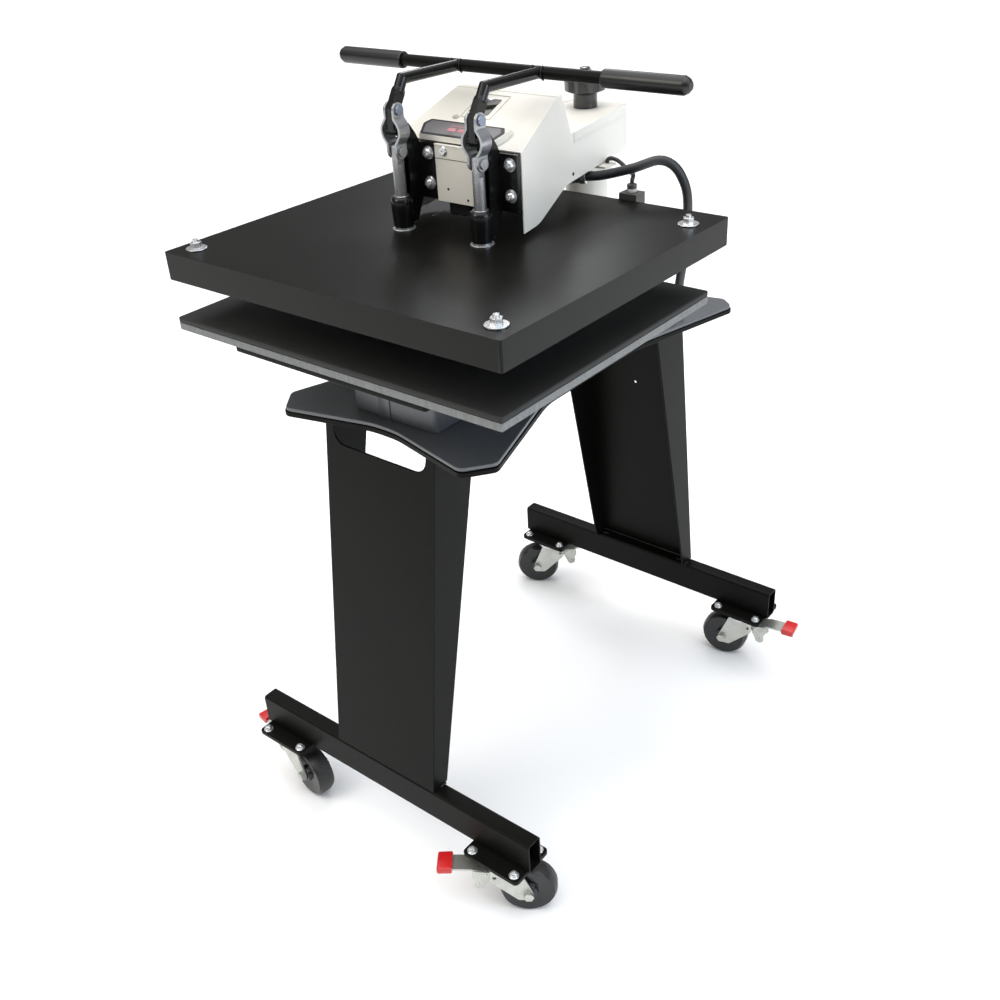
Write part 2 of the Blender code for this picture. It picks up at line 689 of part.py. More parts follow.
def make_bracket(head, name, side):
    """Toggle bracket: guide tube, two cheeks round the fixed pivot, and a bolted flange."""
    x0 = side * ROD_X
    tube = turned([(0, GUIDE_Z[0]), (GUIDE_RADIUS, GUIDE_Z[0]), (GUIDE_RADIUS, GUIDE_Z[1]), (0, GUIDE_Z[1])],
                  (x0, TOGGLE_Y, 0), "Z", 28)
    bracket = add(f"toggle_bracket_{name}", tube, "black_paint", head)
    flange = box((x0 - FLANGE_HALF, FLANGE_Y[0], FLANGE_Z[0]), (x0 + FLANGE_HALF, FLANGE_Y[1], FLANGE_Z[1]))
    combine(bracket, flange, "UNION")
    eye = [(y, z) for y, z in circle((TOGGLE_Y, PIVOT_Z), 0.0075, 24) if y < TOGGLE_Y + 0.0005]
    eye.sort(key=itemgetter(1), reverse=True)
    cheek = eye + [
        (0.0025, 0.9860), (0.0025, GUIDE_Z[1] + 0.002), (-0.0010, GUIDE_Z[1] + 0.002),
        (-0.0010, GUIDE_Z[0] + 0.003), (0.0110, GUIDE_Z[0] + 0.003), (0.0250, 0.9100),
        (0.0250, 0.9740), (0.0190, 0.9860), (0.0080, 1.0010),
    ]
    cheeks = add_prism(bmesh.new(), "X", cheek, x0 + CHEEK[0], x0 + CHEEK[1])
    add_prism(cheeks, "X", cheek, x0 - CHEEK[1], x0 - CHEEK[0])
    combine(bracket, cheeks, "UNION")
    bore = circle((x0, TOGGLE_Y), ROD_RADIUS + GAP, 28, 0.05)
    bores = prism("Z", bore, GUIDE_Z[0] - 0.01, GUIDE_Z[1] + 0.01)
    add_prism(bores, "X", circle((TOGGLE_Y, PIVOT_Z), 0.0035 + GAP, 16), x0 - 0.02, x0 + 0.02)
    combine(bracket, bores)


def make_pin(name, parent, x0, z, radius, head_radius, shoulder, tip):
    """Headed pin along X; the heads stand between the shoulders and the tips."""
    profile = [(0, -tip), (head_radius, -tip), (head_radius, -shoulder), (radius, -shoulder),
               (radius, shoulder), (head_radius, shoulder), (head_radius, tip), (0, tip)]
    return add(name, turned(profile, (x0, TOGGLE_Y, z), "X", 16), "zinc", parent)


# Handle and toggle


def make_crank(handle, name, side):
    """Bent crank arm with its pivot eye, crank-pin eye and a saddle end at the handle bar."""
    x0 = side * ROD_X
    pin = Vector((TOGGLE_Y, CRANK_PIN_Z))
    elbow = Vector(ELBOW)
    knee = pin + (elbow - pin).normalized() * 0.021
    outline = bar_outline([(TOGGLE_Y, PIVOT_Z), tuple(pin), tuple(knee)], 0.0074)
    flat = prism("X", outline, x0 - TONGUE_HALF, x0 + TONGUE_HALF)
    crank = add(f"crank_arm_{name}", flat, "black_paint", handle)
    bend = [(x0, *knee), (x0, *elbow), (x0, HANDLE_Y, HANDLE_Z)]
    combine(crank, add_swept(bmesh.new(), bend, 0.0070), "UNION")
    cuts = prism("X", circle((TOGGLE_Y, PIVOT_Z), 0.0035 + GAP, 16), x0 - 0.02, x0 + 0.02)
    add_prism(cuts, "X", circle(tuple(pin), 0.0040 + GAP, 16), x0 - 0.02, x0 + 0.02)
    add_prism(cuts, "X", circle((HANDLE_Y, HANDLE_Z), HANDLE_RADIUS + GAP, 20), x0 - 0.02, x0 + 0.02)
    combine(crank, cuts)


def make_handle(handle):
    """Handle bar with grips, and the crank pins."""
    centre = (0, HANDLE_Y, HANDLE_Z)
    r, half = HANDLE_RADIUS, HANDLE_HALF
    bar = turned([(0, -half), (r, -half), (r, half), (0, half)], centre, "X", 20)
    add("handle_bar", bar, "black_paint", handle)
    for name, side in SIDES.items():
        inner, outer = GRIP_X
        profile = [
            (0, outer), (0.005, outer), (GRIP_RADIUS - 0.0025, outer - 0.003), (GRIP_RADIUS, outer - 0.008),
            (GRIP_RADIUS, inner + 0.002), (GRIP_RADIUS - 0.001, inner), (r + GAP, inner),
            (r + GAP, half + GAP), (0, half + GAP),
        ]
        grip = turned([(radius, side * x) for radius, x in profile], centre, "X", 20)
        add(f"handle_grip_{name}", grip, "vinyl", handle)
    for name, side in SIDES.items():
        make_pin(f"crank_pin_{name}", handle, side * ROD_X, CRANK_PIN_Z, 0.0040, 0.0062, 0.0086, 0.0114)


def strap_path():
    """Centreline of one strap, from its upper ear over the round bulge to its lower ear."""
    flat = STRAP_INNER + STRAP_SHEET / 2
    round_radius, turns = 0.0155, [radians(a) for a in (45, 30, 15, 0, -15, -30, -45)]
    bulge = [(-0.001 + round_radius * cos(a), round_radius * sin(a)) for a in turns]
    reach = LINK / 2 + STRAP_HALF_WIDTH
    return [(flat, reach), (flat, 0.0150), *bulge, (flat, -0.0150), (flat, -reach)]


def make_links(link):
    """Two bent straps each side; each lower ear carries a short riveted pin."""
    middle = CRANK_PIN_Z - LINK / 2
    upper, lower = (TOGGLE_Y, CRANK_PIN_Z), (TOGGLE_Y, ROD_PIN_Z)
    for name, side in SIDES.items():
        x0 = side * ROD_X
        for place, out in (("inner", -side), ("outer", side)):
            path = [(x0 + out * x, middle + z) for x, z in strap_path()]
            flat = sheet_outline(path, STRAP_SHEET)
            bm = prism("Y", flat, TOGGLE_Y - 0.0092, TOGGLE_Y + 0.0092)
            strap = add(f"toggle_strap_{name}_{place}", bm, "steel", link)
            ears = bar_outline([upper, lower], STRAP_HALF_WIDTH)
            combine(strap, prism("X", ears, x0 - 0.03, x0 + 0.03), "INTERSECT")
            combine(strap, prism("X", circle(upper, 0.0040 + GAP, 16), x0 - 0.03, x0 + 0.03))
            rivet = [
                (0, 0.0056), (0.0040, 0.0056), (0.0040, 0.0086),
                (0.0062, 0.0086), (0.0062, 0.0114), (0, 0.0114),
            ]
            pin = turned([(radius, out * x) for radius, x in rivet], (x0, TOGGLE_Y, ROD_PIN_Z), "X", 16)
            combine(strap, pin, "UNION")


# Upper platen: everything the toggle pushes down


def make_platen(platen):
    """Heat platen, its cover, corner bolts, push rods, and the terminal box behind."""
    (hx, hy), (low, high), t = COVER_HALF, COVER_Z, COVER_SHEET
    outer = rounded_rectangle((-hx, -hy), (hx, hy), 0.003, 3)
    cover = add("platen_cover", prism("Z", outer, low, high), "black_texture", platen)
    inner = rounded_rectangle((-hx + t, -hy + t), (hx - t, hy - t), 0.0015, 3)
    combine(cover, prism("Z", inner, low - 0.01, high - t))
    body = rounded_rectangle((-PLATEN_HALF_X, PLATEN_Y[0]), (PLATEN_HALF_X, PLATEN_Y[1]), 0.006, 4)
    add("heat_platen", prism("Z", body, *PLATEN_Z), "aluminium", platen)
    for row, y in zip(("front", "rear"), PLATEN_BOLT_Y):
        for name, side in SIDES.items():
            x = side * PLATEN_BOLT_X
            profile = [
                (0, high + GAP), (0.0133, high + GAP), (0.0133, high + 0.0018),
                (0.0035, high + 0.0018), (0.0035, high + 0.0125), (0, high + 0.0125),
            ]
            bolt = add(f"platen_bolt_{row}_{name}", turned(profile, (x, y, 0), "Z", 20), "zinc", platen)
            nut = add_hexagon(bmesh.new(), "Z", (x, y), 0.0125, high + 0.0015, high + 0.0090)
            combine(bolt, nut, "UNION")
    for name, side in SIDES.items():
        base = high + GAP
        profile = [
            (0, base), (0.0118, base), (0.0118, base + 0.0030), (ROD_RADIUS, base + 0.0033),
            (ROD_RADIUS, ROD_PIN_Z + 0.0070), (ROD_RADIUS - 0.001, ROD_PIN_Z + 0.0080),
            (0, ROD_PIN_Z + 0.0080),
        ]
        x0 = side * ROD_X
        rod = add(f"push_rod_{name}", turned(profile, (x0, TOGGLE_Y, 0), "Z", 28), "steel", platen)
        flats = bmesh.new()
        for out in (-1, 1):
            near, far = sorted((x0 + out * TONGUE_HALF, x0 + out * 0.02))
            low, top = ROD_PIN_Z - 0.015, ROD_PIN_Z + 0.02
            add_box(flats, (near, TOGGLE_Y - 0.01, low), (far, TOGGLE_Y + 0.01, top))
        combine(rod, flats)
    terminal = box((0.1030, COVER_HALF[1] + GAP, 0.8450), (0.1300, 0.2500, 0.8820))
    terminal_box = add("terminal_box", terminal, "grey_plastic", platen)
    stem = [
        (0, 0.8810), (0.0048, 0.8810), (0.0048, 0.8870), (0.0066, 0.8870), (0.0066, 0.8922), (0, 0.8930),
    ]
    gland = turned(stem, (0.1160, 0.2400, 0), "Z", 14)
    combine(terminal_box, gland, "UNION")


def make_knob(knob):
    """Pressure knob on the deck, above the post."""
    base = DECK_Z + GAP
    shank = [(0, ARM_Z[1]), (0.005, ARM_Z[1]), (0.005, base - GAP), (0, base - GAP)]
    add("pressure_spindle", turned(shank, (0, POST_Y, 0), "Z", 16), "steel", knob)
    under, rim = (base + z for z in KNOB_CAP_Z)
    profile = [
        (0, base), (KNOB_STEM, base), (KNOB_STEM, under), (KNOB_CAP - 0.0005, under + 0.0050),
        (KNOB_CAP, rim - 0.0040), (KNOB_CAP - 0.0025, rim), (KNOB_STEM + 0.0015, rim),
        (KNOB_STEM, rim - 0.0040), (0.0075, rim - 0.0040), (0.0070, rim + 0.0110), (0, rim + 0.0120),
    ]
    body = add("pressure_knob", turned(profile, (0, POST_Y, 0), "Z", 30), "vinyl", knob)
    scallops = bmesh.new()
    for spot_x, spot_y in circle((0, POST_Y), KNOB_CAP + 0.0085, 6, pi / 6):
        add_prism(scallops, "Z", circle((spot_x, spot_y), 0.0125, 12), under + 0.002, rim + 0.012)
    combine(body, scallops)


def make_glands(press, head):
    """Metal hose connectors on the arm and on the base plate."""
    start, leave = Vector(HOSE_ROUTE[0]), Vector(HOSE_ROUTE[1])
    flat = (leave - start).normalized()
    turn = atan2(flat.y, flat.x)
    profile = [
        (0, -0.0195), (0.0085, -0.0195), (0.0085, -0.0080), (0.0098, -0.0080), (0.0098, -GAP), (0, -GAP),
    ]
    bm = turned(profile, (0, 0, 0), "X", 16)
    rise = Matrix.Rotation(-atan2(flat.z, hypot(flat.x, flat.y)), 4, "Y")
    placed = Matrix.Translation(start) @ Matrix.Rotation(turn, 4, "Z") @ rise
    bmesh.ops.transform(bm, matrix=placed, verts=bm.verts)
    add("hose_gland_head", bm, "zinc", head)
    before, end = Vector(HOSE_ROUTE[-2]), Vector(HOSE_ROUTE[-1])
    ahead = (end - before).normalized()
    tilt = Vector((0, 0, -1)).rotation_difference(ahead).to_matrix().to_4x4()
    collar = [
        (0, -GAP), (0.0098, -GAP), (0.0098, -0.0080), (0.0080, -0.0080), (0.0080, -0.0120), (0, -0.0120),
    ]
    bm = turned(collar, (0, 0, 0), "Z", 16)
    bmesh.ops.transform(bm, matrix=Matrix.Translation(end) @ tilt, verts=bm.verts)
    foot = add("hose_gland_base", bm, "zinc", press)
    seat = end + ahead * 0.0085
    boss = prism("Z", circle((seat.x, seat.y), 0.0125, 16), BASE_TOP + GAP, BASE_TOP + 0.0125)
    combine(foot, boss, "UNION")


def main():
    """Build the whole press."""
    clear_scene()
    press = anchor("press", (0, PRESS_Y, 0))
    make_feet(press)
    make_legs(press)
    make_base(press)
    for end, y in zip("fr", FOOT_Y):
        for hand, x in (("l", -CASTER_X), ("r", CASTER_X)):
            make_caster(press, end + hand, x, y, CASTER_HEADINGS[end + hand])
    make_table(press)
    make_post(press)

    head = anchor("swing_axis", (0, POST_Y, 0), press)
    make_arm(head)
    make_hood(head)
    make_front(head)
    for name, side in SIDES.items():
        make_bracket(head, name, side)
        make_pin(f"pivot_pin_{name}", head, side * ROD_X, PIVOT_Z, 0.0035, 0.0043, 0.0083, 0.0103)

    toggle = Vector((0, TOGGLE_Y, PIVOT_Z)) - press_point(head)
    handle = anchor("handle_axis", toggle, head)
    for name, side in SIDES.items():
        make_crank(handle, name, side)
    make_handle(handle)
    link = anchor("crank_pin_axis", (0, 0, CRANK), handle)
    make_links(link)

    platen = anchor("platen_slide", (0, TOGGLE_Y - POST_Y, 0), head)
    make_platen(platen)
    knob = anchor("knob_axis", (0, 0, 0), head)
    make_knob(knob)
    make_glands(press, head)
    cord("hose", HOSE_ROUTE, HOSE_RADIUS, press)
    cord("cable", CABLE_ROUTE, CABLE_RADIUS, platen)


if __name__ == "__main__":
    main()
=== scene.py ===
"""Looks of a swing-away heat press on a rolling stand.

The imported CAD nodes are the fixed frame. Each class dresses one sub-assembly of the press:
it gives the CAD nodes their finish and softened edges, and adds the small parts they lack.
"""
import logging
from dataclasses import dataclass
from enum import Enum
from math import cos, pi, radians, sin
from typing import Any, Iterable, Sequence, Union

import bmesh
import bpy
from mathutils import Matrix, Vector


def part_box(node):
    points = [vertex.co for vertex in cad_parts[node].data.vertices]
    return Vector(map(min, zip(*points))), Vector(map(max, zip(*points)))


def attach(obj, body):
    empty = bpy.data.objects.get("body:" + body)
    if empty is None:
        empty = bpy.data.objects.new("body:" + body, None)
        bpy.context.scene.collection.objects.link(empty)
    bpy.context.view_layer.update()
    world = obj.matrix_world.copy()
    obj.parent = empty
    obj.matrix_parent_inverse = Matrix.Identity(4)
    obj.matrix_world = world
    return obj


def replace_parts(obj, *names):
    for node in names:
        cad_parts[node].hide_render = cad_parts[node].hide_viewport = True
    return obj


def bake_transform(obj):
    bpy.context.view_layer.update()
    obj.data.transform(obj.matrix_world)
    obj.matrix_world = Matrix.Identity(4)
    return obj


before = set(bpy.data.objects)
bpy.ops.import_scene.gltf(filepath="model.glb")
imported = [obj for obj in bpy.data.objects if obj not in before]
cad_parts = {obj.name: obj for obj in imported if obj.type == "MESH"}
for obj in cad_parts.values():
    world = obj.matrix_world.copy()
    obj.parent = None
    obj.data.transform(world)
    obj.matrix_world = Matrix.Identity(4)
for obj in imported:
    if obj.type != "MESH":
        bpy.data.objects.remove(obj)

LOG = logging.getLogger("heat_press")
SIDES = (("left", -1), ("right", 1))
PRESS_Y = -0.1284
ROD_X = 0.0637
CASTER_X = 0.2085
HOOD_FRONT_Y = 0.030
HOOD_FRONT_HALF = 0.0985
HOOD_TAPER = 0.185
WELD_GAP = 0.000005
FLAT_TURN = 0.8
HEADINGS = {"fl": 171.0, "fr": 216.6, "rl": 32.0, "rr": 8.0}
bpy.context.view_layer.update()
Colour = tuple[float, float, float]
Flat = tuple[float, float]
Place = Sequence[float]


# Shader maths


@dataclass(frozen=True)
class Field:
    """A value that varies over a surface; ordinary operators on it add Math nodes."""

    graph: "Graph"
    socket: bpy.types.NodeSocket

    def _math(self, operation: str, first: "Value", second: "Value") -> "Field":
        """Add one Math node."""
        return self.graph.node("ShaderNodeMath", {"operation": operation}, {0: first, 1: second})

    def __add__(self, other: "Value") -> "Field":
        """Sum."""
        return self._math("ADD", self, other)

    def __radd__(self, other: "Value") -> "Field":
        """Sum, number first."""
        return self._math("ADD", other, self)

    def __sub__(self, other: "Value") -> "Field":
        """Difference."""
        return self._math("SUBTRACT", self, other)

    def __rsub__(self, other: "Value") -> "Field":
        """Difference, number first."""
        return self._math("SUBTRACT", other, self)

    def __mul__(self, other: "Value") -> "Field":
        """Product."""
        return self._math("MULTIPLY", self, other)

    def __rmul__(self, other: "Value") -> "Field":
        """Product, number first."""
        return self._math("MULTIPLY", other, self)


Value = Union[Field, float, Sequence[float]]


class Graph:
    """The node tree of one finish, or of the surround."""

    def __init__(self, owner: bpy.types.Material | bpy.types.World) -> None:
        """Start from the owner's own shader.

        Args:
            owner: A new material or world.
        """
        owner.use_nodes = True
        self.owner = owner
        self.tree = owner.node_tree
        self.shader = self.tree.nodes["Background" if isinstance(owner, bpy.types.World) else "Principled BSDF"]

    @classmethod
    def named(cls, name: str) -> "Graph":
        """The graph of a new material."""
        return cls(bpy.data.materials.new(name))

    def node(self, kind: str, settings: dict[str, Any] | None = None,
             inputs: dict[Any, Value] | None = None, output: int | str = 0) -> Field:
        """Add any node.

        Args:
            kind: Node type.
            settings: The node's own settings, set before its sockets.
            inputs: Numbers, colours or links for its sockets, by name or number.
            output: The output that is wanted.

        Returns:
            The output as a field.
        """
        made = self.tree.nodes.new(kind)
        for key, value in (settings or {}).items():
            setattr(made, key, value)
        for key, value in (inputs or {}).items():
            self.feed(made.inputs[key], value)
        return Field(self, made.outputs[output])

    def feed(self, socket: bpy.types.NodeSocket, value: Value) -> None:
        """Link a field to a socket, or set the socket's own value.

        Args:
            socket: The input.
            value: A field, a number, a colour or a vector.
        """
        if isinstance(value, Field):
            self.tree.links.new(value.socket, socket)
        elif isinstance(value, (int, float)):
            socket.default_value = value
        else:
            filled = (*value, 1.0) if len(socket.default_value) == 4 and len(value) == 3 else tuple(value)
            socket.default_value = filled

    def place(self, stretch: Place = (1.0, 1.0, 1.0)) -> Field:
        """Object coordinates, stretched along each axis."""
        local = self.node("ShaderNodeTexCoord", output="Object")
        return self.node("ShaderNodeMapping", {}, {"Vector": local, "Scale": stretch})

    def noise(self, place: Field, scale: float, detail: float = 2.0, roughness: float = 0.5) -> Field:
        """Soft noise from 0 to 1."""
        inputs = {"Vector": place, "Scale": scale, "Detail": detail, "Roughness": roughness}
        return self.node("ShaderNodeTexNoise", {}, inputs)

    def cells(self, place: Field, scale: float, smooth: float = 0.4) -> Field:
        """Distance to the nearest of many scattered points."""
        inputs = {"Vector": place, "Scale": scale, "Smoothness": smooth}
        return self.node("ShaderNodeTexVoronoi", {"feature": "SMOOTH_F1"}, inputs, "Distance")

    def between(self, value: Field, low: float, high: float) -> Field:
        """A field remapped so that low becomes 0 and high becomes 1, clamped."""
        return self.node("ShaderNodeMapRange", {"clamp": True}, {"Value": value, "From Min": low, "From Max": high})

    def blend(self, share: Value, first: Value, second: Value) -> Field:
        """Mix two colours.

        Args:
            share: How much of the second colour.
            first: Colour at 0.
            second: Colour at 1.

        Returns:
            The mixed colour.
        """
        return self.node("ShaderNodeMix", {"data_type": "RGBA"}, {0: share, 6: first, 7: second}, 2)

    def relief(self, height: Field, depth: float) -> Field:
        """Normal bent by a bump of a given depth in metres."""
        return self.node("ShaderNodeBump", {}, {"Height": height, "Strength": 1.0, "Distance": depth})

    def finish(self, **values: Value) -> bpy.types.Material | bpy.types.World:
        """Feed the shader.

        Args:
            values: Socket values; an underscore stands for a space in the socket's name.

        Returns:
            The owner.
        """
        for key, value in values.items():
            self.feed(self.shader.inputs[key.replace("_", " ")], value)
        return self.owner


# Finishes


@dataclass(frozen=True)
class PowderCoat:
    """Baked paint: fine orange peel, slow cloudy sheen and a few rubbed spots."""

    name: str
    colour: Colour
    cloud: Colour
    roughness: float
    grains: float = 700.0
    depth: float = 0.00004
    rubbed: float = 0.64
    specular: float = 0.24

    def build(self) -> bpy.types.Material:
        """Make the material.

        Returns:
            The material.
        """
        graph = Graph.named(self.name)
        place = graph.place()
        slow = graph.noise(place, 6.0, 4.0, 0.6)
        peel = graph.noise(place, self.grains, 1.0)
        scuff = graph.between(graph.noise(place, 85.0, 5.0, 0.75), self.rubbed, self.rubbed + 0.16)
        colour = graph.blend(graph.between(slow, 0.3, 0.7), self.colour, self.cloud)
        specks = graph.between(peel, 0.62, 0.8) * 0.22
        colour = graph.blend(specks, colour, tuple(min(1.0, c * 2.4 + 0.01) for c in self.cloud))
        shine = self.roughness - 0.09 + 0.13 * slow + 0.16 * scuff + 0.06 * peel
        return graph.finish(Base_Color=colour, Roughness=shine, Specular_IOR_Level=self.specular,
                            Normal=graph.relief(peel, self.depth))


@dataclass(frozen=True)
class Hammertone:
    """Hammered enamel: a net of shallow dimples in metallic grey."""

    name: str
    colour: Colour
    ridge: Colour
    cells: float = 330.0

    def build(self) -> bpy.types.Material:
        """Make the material.

        Returns:
            The material.
        """
        graph = Graph.named(self.name)
        place = graph.place()
        wander = graph.noise(place, 40.0, 2.0)
        dimple = graph.cells(place, self.cells)
        net = graph.between(dimple + 0.12 * wander, 0.28, 0.62)
        colour = graph.blend(net, self.colour, self.ridge)
        shine = 0.3 + 0.1 * net + 0.08 * wander
        return graph.finish(Base_Color=colour, Roughness=shine, Metallic=0.35, Normal=graph.relief(dimple, 0.00003))


@dataclass(frozen=True)
class Metal:
    """Bare or plated metal with drawn lines and slow stains."""

    name: str
    colour: Colour
    stain: Colour
    roughness: float
    lines: Place = (60.0, 900.0, 900.0)
    depth: float = 0.000004

    def build(self) -> bpy.types.Material:
        """Make the material.

        Returns:
            The material.
        """
        graph = Graph.named(self.name)
        drawn = graph.noise(graph.place(self.lines), 1.0, 3.0, 0.6)
        stain = graph.noise(graph.place(), 38.0, 4.0, 0.65)
        colour = graph.blend(graph.between(stain, 0.42, 0.68), self.colour, self.stain)
        shine = self.roughness + 0.12 * (drawn - 0.5) + 0.12 * graph.between(stain, 0.4, 0.7)
        return graph.finish(Base_Color=colour, Roughness=shine, Metallic=0.8, Normal=graph.relief(drawn, self.depth))


@dataclass(frozen=True)
class SawnAluminium:
    """Sawn plate: bright speckle over dull grey."""

    name: str
    colour: Colour
    bright: Colour

    def build(self) -> bpy.types.Material:
        """Make the material.

        Returns:
            The material.
        """
        graph = Graph.named(self.name)
        speckle = graph.noise(graph.place(), 620.0, 3.0, 0.8)
        saw = graph.noise(graph.place((420.0, 420.0, 30.0)), 1.0, 2.0)
        share = graph.between(speckle + 0.3 * saw, 0.5, 0.86)
        colour = graph.blend(share, self.colour, self.bright)
        return graph.finish(Base_Color=colour, Roughness=0.5 - 0.12 * share, Metallic=0.6,
                            Normal=graph.relief(speckle, 0.00003))


@dataclass(frozen=True)
class Rubber:
    """Matt rubber: dusty cloud over close pores."""

    name: str
    colour: Colour
    dust: Colour
    roughness: float
    pores: float = 900.0
    depth: float = 0.00005

    def build(self) -> bpy.types.Material:
        """Make the material.

        Returns:
            The material.
        """
        graph = Graph.named(self.name)
        place = graph.place()
        cloud = graph.noise(place, 11.0, 5.0, 0.62)
        pore = graph.noise(place, self.pores, 2.0, 0.7)
        lint = graph.between(graph.noise(place, 260.0, 3.0, 0.9), 0.66, 0.78)
        colour = graph.blend(graph.between(cloud, 0.35, 0.75) * 0.8, self.colour, self.dust)
        colour = graph.blend(lint * 0.35, colour, tuple(c * 2.5 for c in self.dust))
        shine = self.roughness + 0.12 * (pore - 0.5) + 0.1 * (cloud - 0.5)
        return graph.finish(Base_Color=colour, Roughness=shine, Normal=graph.relief(pore, self.depth))


@dataclass(frozen=True)
class Moulding:
    """Moulded plastic: glossy skin, faint ripples and handling marks."""

    name: str
    colour: Colour
    mark: Colour
    roughness: float
    coat: float = 0.0
    ripple: float = 45.0

    def build(self) -> bpy.types.Material:
        """Make the material.

        Returns:
            The material.
        """
        graph = Graph.named(self.name)
        place = graph.place()
        ripple = graph.noise(place, self.ripple, 2.0)
        marks = graph.between(graph.noise(place, 190.0, 4.0, 0.85), 0.6, 0.8)
        colour = graph.blend(marks * 0.5, self.colour, self.mark)
        shine = self.roughness + 0.1 * (ripple - 0.5) + 0.2 * marks
        return graph.finish(Base_Color=colour, Roughness=shine, Coat_Weight=self.coat, Coat_Roughness=0.08,
                            Normal=graph.relief(ripple, 0.00012))


@dataclass(frozen=True)
class BrakedWheel:
    """Cast wheel: scuffed, dusty tread round a glossy disc.

    The tread mask is the radius about the axle, so each wheel has its own place.
    """

    name: str
    centre: Place
    heading: float
    tread_radius: float = 0.036

    def build(self) -> bpy.types.Material:
        """Make the material.

        Returns:
            The material.
        """
        graph = Graph.named(self.name)
        place = graph.place()
        offset = graph.node("ShaderNodeVectorMath", {"operation": "SUBTRACT"}, {0: place, 1: self.centre})
        axle = (-sin(self.heading), cos(self.heading), 0.0)
        along = graph.node("ShaderNodeVectorMath", {"operation": "DOT_PRODUCT"}, {0: offset, 1: axle}, "Value")
        reach = graph.node("ShaderNodeVectorMath", {"operation": "LENGTH"}, {0: offset}, "Value")
        radius = graph.node("ShaderNodeMath", {"operation": "SQRT"}, {0: reach * reach - along * along})
        tread = graph.between(radius, self.tread_radius, self.tread_radius + 0.003)
        grit = graph.noise(place, 420.0, 4.0, 0.8)
        dusty = tread * graph.between(grit, 0.45, 0.75)
        colour = graph.blend(dusty * 0.55, (0.008, 0.008, 0.009), (0.075, 0.07, 0.062))
        shine = 0.2 + 0.12 * grit + 0.22 * tread
        return graph.finish(Base_Color=colour, Roughness=shine, Normal=graph.relief(grit, 0.00006))


class Finish(Enum):
    """Every finish on the press, with its record slot."""

    STAND = ("black_paint", PowderCoat("black_satin_coat", (0.0032, 0.0032, 0.0028), (0.0052, 0.0052, 0.0044), 0.40,
                                       700.0, 0.00003, 0.66, 0.09))
    GLOSS = ("black_paint", PowderCoat("black_gloss_coat", (0.004, 0.004, 0.004), (0.007, 0.007, 0.007), 0.2, 300.0,
                                       0.00002, 0.68, 0.34))
    COVER = ("black_texture", PowderCoat("black_textured_coat", (0.0032, 0.0031, 0.0026), (0.0055, 0.0052, 0.0044),
                                         0.33, 560.0, 0.00007, 0.64, 0.17))
    GREY = ("hammertone", Hammertone("grey_hammertone", (0.105, 0.110, 0.118), (0.135, 0.141, 0.150), 620.0))
    CREAM = ("cream_paint", PowderCoat("cream_coat", (0.735, 0.705, 0.63), (0.80, 0.775, 0.71), 0.36, 420.0, 0.00003,
                                       0.72, 0.5))
    ZINC = ("zinc", Metal("zinc_plate", (0.55, 0.56, 0.52), (0.46, 0.47, 0.42), 0.28, (300.0, 300.0, 300.0)))
    BRIGHT = ("zinc", Metal("bright_plate", (0.70, 0.71, 0.71), (0.6, 0.61, 0.61), 0.25, (300.0, 300.0, 300.0)))
    STEEL = ("steel", Metal("drawn_steel", (0.36, 0.365, 0.375), (0.27, 0.275, 0.28), 0.24, (900.0, 900.0, 25.0)))
    LINK = ("steel", Metal("satin_link", (0.46, 0.47, 0.48), (0.36, 0.365, 0.37), 0.3, (90.0, 90.0, 90.0), 0.000004))
    BLUED = ("zinc", Metal("blued_plate", (0.22, 0.27, 0.36), (0.3, 0.33, 0.4), 0.26))
    ALUMINIUM = ("aluminium", SawnAluminium("sawn_aluminium", (0.13, 0.133, 0.13), (0.24, 0.25, 0.255)))
    SILICONE = ("silicone", Rubber("silicone_rubber", (0.0055, 0.0054, 0.005), (0.009, 0.0088, 0.0082), 0.62))
    HOSE = ("vinyl", Rubber("hose_rubber", (0.012, 0.0125, 0.0135), (0.03, 0.031, 0.033), 0.42, 500.0))
    VINYL = ("vinyl", Moulding("black_vinyl", (0.007, 0.007, 0.007), (0.02, 0.02, 0.019), 0.34))
    KNOB = ("vinyl", Moulding("black_phenolic", (0.006, 0.006, 0.006), (0.018, 0.018, 0.018), 0.22, 0.5))
    PANEL = ("membrane", Moulding("console_plastic", (0.02, 0.02, 0.022), (0.045, 0.045, 0.05), 0.3))
    FILM = ("membrane", Moulding("keypad_film", (0.16, 0.15, 0.155), (0.2, 0.19, 0.195), 0.34, 0.3))
    KEY = ("membrane", Moulding("keypad_key", (0.5, 0.2, 0.23), (0.56, 0.3, 0.32), 0.4))
    LENS = ("membrane", Moulding("display_lens", (0.018, 0.019, 0.013), (0.03, 0.031, 0.022), 0.1, 1.0))
    OUTLINE = ("membrane", Moulding("lens_outline", (0.42, 0.4, 0.35), (0.5, 0.48, 0.42), 0.4))
    GREY_PLASTIC = ("grey_plastic", Moulding("grey_nylon", (0.07, 0.068, 0.062), (0.1, 0.098, 0.09), 0.42))
    WHITE_PLASTIC = ("grey_plastic", Moulding("white_nylon", (0.6, 0.59, 0.55), (0.5, 0.49, 0.45), 0.4))
    RED = ("wheel_plastic", Moulding("red_dip", (0.56, 0.012, 0.014), (0.4, 0.01, 0.012), 0.3, 0.3, 120.0))
    # dark plastic of the limit switch, its lugs and the hood screws, the front panel's dark seam line, and painted
    # shade standing for the panel's screw holes
    DARK = ("black_paint", Moulding("dark_parts_and_hole_shade", (0.004, 0.004, 0.004), (0.01, 0.01, 0.01), 0.6))

    @property
    def slot(self) -> str:
        """The record's material slot."""
        return self.value[0]

    @property
    def material(self) -> bpy.types.Material:
        """The material, made on first use."""
        coat = self.value[1]
        return bpy.data.materials.get(coat.name) or coat.build()


# Shapes


